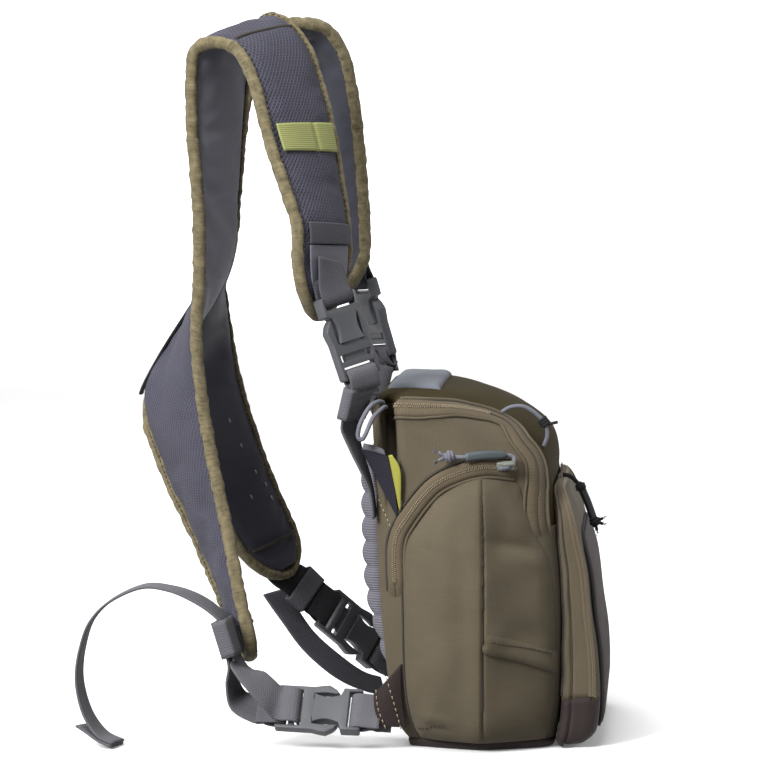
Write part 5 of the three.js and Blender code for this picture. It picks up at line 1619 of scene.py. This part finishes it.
# %% Moulded copies of the buckles
EDGE_ROUND, SHARP_ANGLE = 0.45, math.radians(35)
SOCKET_WAIST, ARM_BOW = 1.7, -0.7
# The prong's plate is filled by a block at this distance, of this size.
FILL_AT, FILL_SIZE = 11.75, (4.6, 14, 2.4)


def moulded_copy(node):
    """A mesh like a solid's, with merged points and rounded edges."""
    bm = bmesh.new()
    bm.from_mesh(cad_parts[node].data)
    bmesh.ops.remove_doubles(bm, verts=bm.verts, dist=1e-6)
    bmesh.ops.dissolve_limit(bm, angle_limit=math.radians(1), verts=bm.verts, edges=bm.edges)
    sharp = [e for e in bm.edges if len(e.link_faces) == 2 and e.calc_face_angle() > SHARP_ANGLE]
    bmesh.ops.bevel(bm, geom=sharp, offset=EDGE_ROUND * MM, offset_type="OFFSET", affect="EDGES",
                    segments=2, profile=0.5, material=-1, clamp_overlap=True)
    return bm


for name, buckle in buckles.items():
    socket_mesh = moulded_copy(f"socket_{name}")
    buckle.curve_sides(socket_mesh, SOCKET_WAIST)
    prong_mesh = moulded_copy(f"prong_{name}")
    buckle.curve_sides(prong_mesh, ARM_BOW)
    add_block(prong_mesh, buckle.point(FILL_AT, 0, 0), buckle.along, buckle.across, FILL_SIZE)
    for half_name, mesh in (("socket", socket_mesh), ("prong", prong_mesh)):
        solid = f"{half_name}_{name}"
        piece = make_piece(f"buckle_{solid}", mesh, ["plastic"], [solid])
        piece.data.set_sharp_from_angle(angle=SHARP_ANGLE)

# %% [markdown]
# ## Straps
#
# All straps are 20 mm webbing. A strap is one route with its direction across at every point, and where it
# meets a buckle it runs round the end bar and back, and is sewn to itself. The free tail at the near side
# has the length that shows, and its end is folded over and sewn, so that it can't slip out of the buckle.

# %% Webbing, bar loops and keepers
WEB_WIDTH, WEB_THICK = 20, 1.5
KEEPER_WIDTH, KEEPER_WALL = 24, 1.2
# Along the buckle from its end, above its face
BAR_LOOP = [[-10, 1.6], [-6, 1.7], [-1.5, 2.4], [1.5, 2.7], [4.4, 1.8], [5.3, 0], [4.4, -1.8], [1.5, -2.6],
            [-2, -2.2], [-6.5, -0.5]]


def bar_loop(buckle, at_socket):
    """Strap lines that run round the end bar of a buckle, from the sewn end to the free one."""
    return [
        [*buckle.point(BUCKLE_LENGTH - x if at_socket else x, 0, z), *buckle.across] for x, z in BAR_LOOP
    ]


def strap_piece(name, rows, finish, replaces, step=1.6):
    """A strap of webbing along rows of x, y, z and its direction across."""
    mesh = sheet_mesh(strap(rows, step, WEB_WIDTH, WEB_THICK), wrap=True)
    return make_piece(name, mesh, [finish], replaces)


def keeper_piece(name, line, across, room, replaces):
    """A short sleeve of webbing round a strap."""
    line = Route(line).spread(9)
    across = np.broadcast_to(across, line.shape)
    points = ribbon_points(line, across, KEEPER_WIDTH, room + 2 * KEEPER_WALL, ends=False)
    mesh = sheet_mesh(points, wrap=True, inside=line[4])
    return make_piece(name, mesh, ["webbing"], replaces, thick=KEEPER_WALL)


print("webbing is", WEB_WIDTH, "mm wide and", WEB_THICK, "mm thick")

# %% Straps above the bag
SHOULDER_TOP, SHOULDER_FOOT = np.array([-62.6, 89.6, 190.5]), np.array([-66.6, 87.7, 174])
SHOULDER_RUN = [
    # x, y, z, direction across
    [-67, 87, 166, 0.3, -0.9, 0], [-63.5, 87, 156, 0.2, -0.95, 0], [-59.5, 87, 146, 0.1, -1, 0],
    [-56, 87, 135, 0, -1, 0], [-54.4, 87, 122, 0, -1, 0],
]
SHOULDER_ROOM = 3.8
# Distance along the padded strap, sideways, lift
PAD_STRAP_END = {"near": (30, -3.5, 3.4), "far": (30, -0.5, 3.4)}


def on_strap(half, distance, sideways, lift):
    """A line of webbing on a padded strap's outer face."""
    centre, across, outward, _, _ = half.section(np.asarray(distance, float))
    return [*(centre + across * sideways + outward * (PAD_MIDDLE_HALF + lift)), *across]


for name, side in SIDES.items():
    buckle, half = buckles[f"front_{name}"], halves[name]
    across = (0.4, -0.91 * side, 0.08)
    flip = np.array([1, side, 1, 1, side, 1])
    at_bar = bar_loop(buckle, True)[:-1]
    sewn_end = np.array(on_strap(half, *PAD_STRAP_END[name]))
    between = [list(np.array(at_bar[-1]) * (1 - f) + sewn_end * f) for f in (0.35, 0.7)]
    strap_piece(f"pad_strap_{name}", [*at_bar, *between, list(sewn_end)], "dark_web", [f"pad_web_{name}"])
    inside_keeper = [
        [*((SHOULDER_TOP + (SHOULDER_FOOT - SHOULDER_TOP) * f) * flip[:3]), *across]
        for f in (-0.15, 0.5, 1.15)
    ]
    down = [list(np.array(row) * flip) for row in SHOULDER_RUN]
    strap_piece(f"shoulder_strap_{name}", bar_loop(buckle, False) + inside_keeper + down, "webbing",
                [f"shoulder_web_{name}"])
    sleeve_line = [SHOULDER_TOP * flip[:3], SHOULDER_FOOT * flip[:3]]
    keeper_piece(f"shoulder_sleeve_{name}", sleeve_line, across, SHOULDER_ROOM, [f"shoulder_keeper_{name}"])

# %% [markdown]
# Below the wings the waist straps run from the pads to the two low buckles. The near one goes round the
# bar, comes back through a keeper and ends in the free tail. The far one is short, and a slack strand hangs
# below it. A strap's bends can't be simulated well, so they are tables of points with the direction across.

# %% Near waist strap and its free tail
NEAR_KEEPER = {"centre": (-132, -90, 58), "axis": (-0.3, 0.05, 0.95), "across": (0.08, 0.99, 0.0)}


def in_keeper(keeper, along, lift=0.0):
    """A line of webbing inside a keeper, along its axis and off its middle."""
    centre, axis, across = (np.array(keeper[key], float) for key in ("centre", "axis", "across"))
    return [*(centre + axis * along + unit(np.cross(across, axis)) * lift), *across]


NEAR_BEND = [[-115.5, -92.5, 20.5, 0.1, 0.78, 0.62], [-125.5, -91, 24.5, 0.25, 0.88, 0.4],
             [-129.5, -90.5, 34, 0.2, 0.97, 0.1]]
RETURN_BEND = [[-110, -100, 30.5, 0.05, 0.72, 0.69], [-116, -98.5, 36.5, 0.1, 0.85, 0.5],
               [-121, -95.5, 40.5, 0.1, 0.95, 0.25]]
RETURN_LOOP = [[12.2, -1], [12, 2.2], [10.4, 4.7], [6, 5.4], [1.5, 5.5]]
TAIL = [
    [-140, -89, 73, 0.1, 0.98, 0.04], [-150, -88, 79, 0.1, 0.98, 0.04],
    [-162, -86, 83, 0.04, 0.99, 0.0], [-177, -84, 84, 0.0, 1, -0.02],
    [-194, -83, 76.5, 0.0, 1, -0.02], [-205, -83, 65.5, 0.0, 1, 0], [-210, -84, 51, 0.02, 1, 0],
    [-211.5, -86, 37, 0.04, 1, 0], [-209.5, -88, 25, 0.06, 0.99, 0], [-205, -91, 14.6, 0.08, 0.99, 0],
    [-198, -94, 6.4, 0.1, 0.99, 0], [-189.5, -96, 2.6, 0.05, 1, 0],
]
NEAR_ROOM = 5.6
near_buckle = buckles["low_near"]
strand = bar_loop(near_buckle, False) + NEAR_BEND + [in_keeper(NEAR_KEEPER, -15, -2.1)]
strand += [in_keeper(NEAR_KEEPER, along, -1.3) for along in (-7, 1, 9)]
strap_piece("waist_strand_near", strand, "webbing", ["low_strand_near"])
tail = [[*near_buckle.point(x, 0, z), *near_buckle.across] for x, z in RETURN_LOOP] + RETURN_BEND
tail += [in_keeper(NEAR_KEEPER, -15, 2.3)]
tail += [in_keeper(NEAR_KEEPER, along, 1.3) for along in (-7, 1, 8)] + TAIL
strap_piece("free_tail_near", tail, "webbing", ["tail_near"])
keeper_piece("waist_sleeve_near", [in_keeper(NEAR_KEEPER, along)[:3] for along in (-10, 0, 10)],
             NEAR_KEEPER["across"], NEAR_ROOM, ["low_keeper_near"])

# %% Folded end of the tail, which lies below it and springs away a little
HEM_LENGTH, HEM_GAP, HEM_SPRING = 20, 1.55, 4.0
tail_route = Route(tail)
hem_stations = tail_route.at(np.linspace(tail_route.length, tail_route.length - HEM_LENGTH, 14))
hem_below = np.cross(hem_stations[:, 3:6], tangents(hem_stations[:, :3]))
hem_below = unit(hem_below) * -np.sign(hem_below[:, 2:])
hem_gap = HEM_GAP + HEM_SPRING * np.linspace(0, 1, 14)[:, None] ** 3
hem_rows = np.column_stack([hem_stations[:, :3] + hem_below * hem_gap, hem_stations[:, 3:6]])
strap_piece("tail_hem_near", hem_rows, "webbing", [])

# %% Far waist strap and the anchors of both
FAR_KEEPER = {"centre": (-105, 66.2, 65), "axis": (-0.62, -0.36, 0.67), "across": (0.5, 0.5, 0.73)}
FAR_RUN = [[-113.5, 62, 72, 0.5, 0.65, 0.55], [-119.5, 60, 76.5, 0.56, 0.75, 0.3],
           [-128.5, 55, 91, 0.56, 0.78, 0.28]]
FAR_ROOM = 2.8
SLACK = [
    [-122.5, 63.5, 63.6, 0.2, 0.9, 0.4], [-113.5, 59.5, 51.6, 0.2, 0.9, 0.4],
    [-102, 57.5, 36.5, 0.2, 0.9, 0.4], [-87, 59, 23, 0.2, 0.9, 0.4],
    [-73, 63, 14, 0.1, 0.9, 0.3], [-61, 67, 10, 0, 0.9, 0.3],
]
far_strand = bar_loop(buckles["low_far"], False) + [in_keeper(FAR_KEEPER, along) for along in (-7, 0, 7)]
strap_piece("waist_strand_far", far_strand + FAR_RUN, "black_web", ["low_strand_far"])
keeper_piece("waist_sleeve_far", [in_keeper(FAR_KEEPER, along)[:3] for along in (-6, 0, 6)],
             FAR_KEEPER["across"], FAR_ROOM, ["low_keeper_far"])
strap_piece("slack_strand_far", SLACK, "dark_web", ["tail_far"])
for name, side in SIDES.items():
    sewn = [[-51, side * 96.6, 19.5, 0, 0, 1], [-44.5, side * 95.3, 19, 0, 0, 1]]
    anchor = bar_loop(buckles[f"low_{name}"], True) + sewn
    strap_piece(f"waist_anchor_{name}", anchor, "webbing", [f"low_web_{name}"])

# %% [markdown]
# ## Zip pulls
#
# Each side zip has a slider with a loop of cord through a soft tube, tied off in a knot with frayed ends.
# The front zip's pull is the same in black. A knot is drawn as the cord itself, wound a few times round its
# own line, and the frayed ends are a few thin threads that spread.

# %% Knots, tubes and frayed ends
def knot_line(centre, way, radius, turns=2.5, points=44):
    """A cord line wound round a centre, wider in the middle."""
    way = unit(np.array(way, float))
    side = unit(np.cross(way, (0.2, 0.9, 0.35)))
    up = np.cross(way, side)
    f = np.linspace(0, 1, points)
    angle = 2 * math.pi * turns * f
    reach = radius * (0.55 + 0.45 * np.sin(math.pi * f))
    return (np.array(centre) + np.outer((f - 0.5) * 1.7 * radius, way)
            + np.outer(reach * np.cos(angle), side) + np.outer(reach * np.sin(angle), up))


def add_tube(parts, line, radius, sides=8):
    parts.append(tube_points(np.asarray(line, float), radius, sides))


def joined(parts):
    """One mesh from several tubes."""
    whole = bmesh.new()
    whole.loops.layers.uv.new("cloth")
    for part in parts:
        tube = sheet_mesh(part, wrap=True)
        data = bpy.data.meshes.new("part")
        tube.to_mesh(data)
        tube.free()
        whole.from_mesh(data)
        bpy.data.meshes.remove(data)
    return whole


def frayed(start, way, count, length):
    """Thin threads that spread from a cord's cut end."""
    start, way = np.array(start, float), np.array(way, float)
    lines = []
    for k in range(count):
        turn = 2 * math.pi * k / count
        spread = np.array([0.35 * math.cos(turn), 0.5 * math.sin(turn), 0.55 * math.cos(turn + 1.1)])
        reach = length * (0.75 + 0.25 * math.sin(3.7 * k + 1))
        f = np.linspace(0, 1, 6)
        lines.append(start + np.outer(f, way * reach) + np.outer(f ** 2, spread * reach))
    return lines


def add_frayed_end(cords, start, way, fray):
    """A short cut end of cord, with thin threads that spread from it."""
    stub = start + np.outer(np.linspace(fray["from"], 1, 5), np.array(way) * fray["stub"])
    add_tube(cords, stub, fray["radius"])
    for thread in frayed(stub[-1], way, fray["threads"], fray["length"]):
        add_tube(cords, thread, fray["thin"], 5)


print("a test knot has", len(knot_line((0, 0, 0), (1, 0, 0), 2)), "points")

# %% Pulls of the side zips
# Each row: x and z on the skin, and how far it stands off
PULL_CORD = [[12, 149, 7.5], [16, 149.5, 7.5], [19, 152, 7], [18.4, 155, 6], [13, 155.9, 5.6]]
PULL_TUBE = [[14, 155.9, 5.6], [4, 156.2, 5.6], [-6, 155.3, 5.6]]
PULL_END = [[-5, 155.3, 5.6], [-9, 155.2, 5.6], [-12, 155.5, 5.6]]
PULL_KNOT, PULL_CUT = [-14, 155.6, 5.6], [-16, 155.6, 5.6]
PULL_WAY = (1, 0, 0.1)
SIDE_ENDS = [[-0.9, 0.1, 0.45], [-0.85, 0.2, -0.5]]
SIDE_FRAY = {"from": 0, "stub": 4.5, "radius": 1.0, "threads": 6, "length": 3.2, "thin": 0.22}
SLIDER_AT, SLIDER_ROUND = (13, 149), 1.0
SLIDER_BODY = {"lift": 4.6, "size": (9.6, 4.8, 2.6)}
SLIDER_BRIDGE = {"lift": 6.6, "move": (1, 0, 0.3), "size": (7, 2.2, 2.6)}


def beside(side, spots):
    """Points beside the bag that stand off its skin."""
    return np.array([skin.from_side(x, z, side)[0] + (0, side * lift, 0) for x, z, lift in spots])


for name, side in SIDES.items():
    cords, tubes = [], []
    add_tube(cords, Route(beside(side, PULL_CORD)).spread(24), 1.15)
    add_tube(tubes, Route(beside(side, PULL_TUBE)).spread(16), 2.3, 12)
    add_tube(cords, Route(beside(side, PULL_END)).spread(8), 1.2)
    knot_at, cut_at = beside(side, [PULL_KNOT, PULL_CUT])
    add_tube(cords, knot_line(knot_at, PULL_WAY, 2.3), 1.15)
    for x, y, z in SIDE_ENDS:
        add_frayed_end(cords, cut_at, (x, y * side, z), SIDE_FRAY)
    slider = bmesh.new()
    seat, normal = skin.from_side(*SLIDER_AT, side)
    bridge_at = seat + normal * SLIDER_BRIDGE["lift"] + SLIDER_BRIDGE["move"]
    add_block(slider, seat + normal * SLIDER_BODY["lift"], PULL_WAY, (0, 0, 1), SLIDER_BODY["size"])
    add_block(slider, bridge_at, PULL_WAY, (0, 0, 1), SLIDER_BRIDGE["size"])
    bmesh.ops.bevel(slider, geom=slider.edges, offset=SLIDER_ROUND * MM, affect="EDGES", segments=3,
                    profile=0.5, material=-1)
    make_piece(f"side_pull_cord_{name}", joined(cords), ["cord"], [f"side_pull_{name}"])
    make_piece(f"side_pull_tube_{name}", joined(tubes), ["sleeve"])
    make_piece(f"side_slider_{name}", slider, ["slider"])

# %% Pull of the front zip
FRONT_PULL_Y = -32
FRONT_CORD = [[43, 140], [47, 139.2], [50.6, 136], [53.5, 132]]
FRONT_TUBE = [[53.5, 132], [56.5, 125], [59.5, 116.5]]
FRONT_KNOT, FRONT_CUT = (52.6, FRONT_PULL_Y, 133.5), (60.4, FRONT_PULL_Y, 114.8)
FRONT_ENDS = [[0.75, -0.3, 0.35], [0.2, -0.4, -0.85], [0.8, 0.2, -0.25]]
FRONT_FRAY = {"from": 0.3, "stub": 5.5, "radius": 0.9, "threads": 5, "length": 2.2, "thin": 0.2}


def ahead_of(points):
    """Points in front of the bag, in the plane that the pull hangs in."""
    return np.array([[x, FRONT_PULL_Y, z] for x, z in points])


front_cords, front_tubes = [], []
add_tube(front_cords, Route(ahead_of(FRONT_CORD)).spread(14), 1.2)
add_tube(front_cords, knot_line(FRONT_KNOT, (0.5, 0, -0.8), 2.1), 1.1)
add_tube(front_tubes, Route(ahead_of(FRONT_TUBE)).spread(14), 2.2, 12)
add_tube(front_cords, knot_line(FRONT_CUT, (0.4, 0, -0.9), 2.3), 1.1)
for way in FRONT_ENDS:
    add_frayed_end(front_cords, np.array(FRONT_CUT), way, FRONT_FRAY)
make_piece("front_pull_cord", joined(front_cords), ["black_cord"], ["front_pull"])
make_piece("front_pull_tube", joined(front_tubes), ["black_sleeve"])
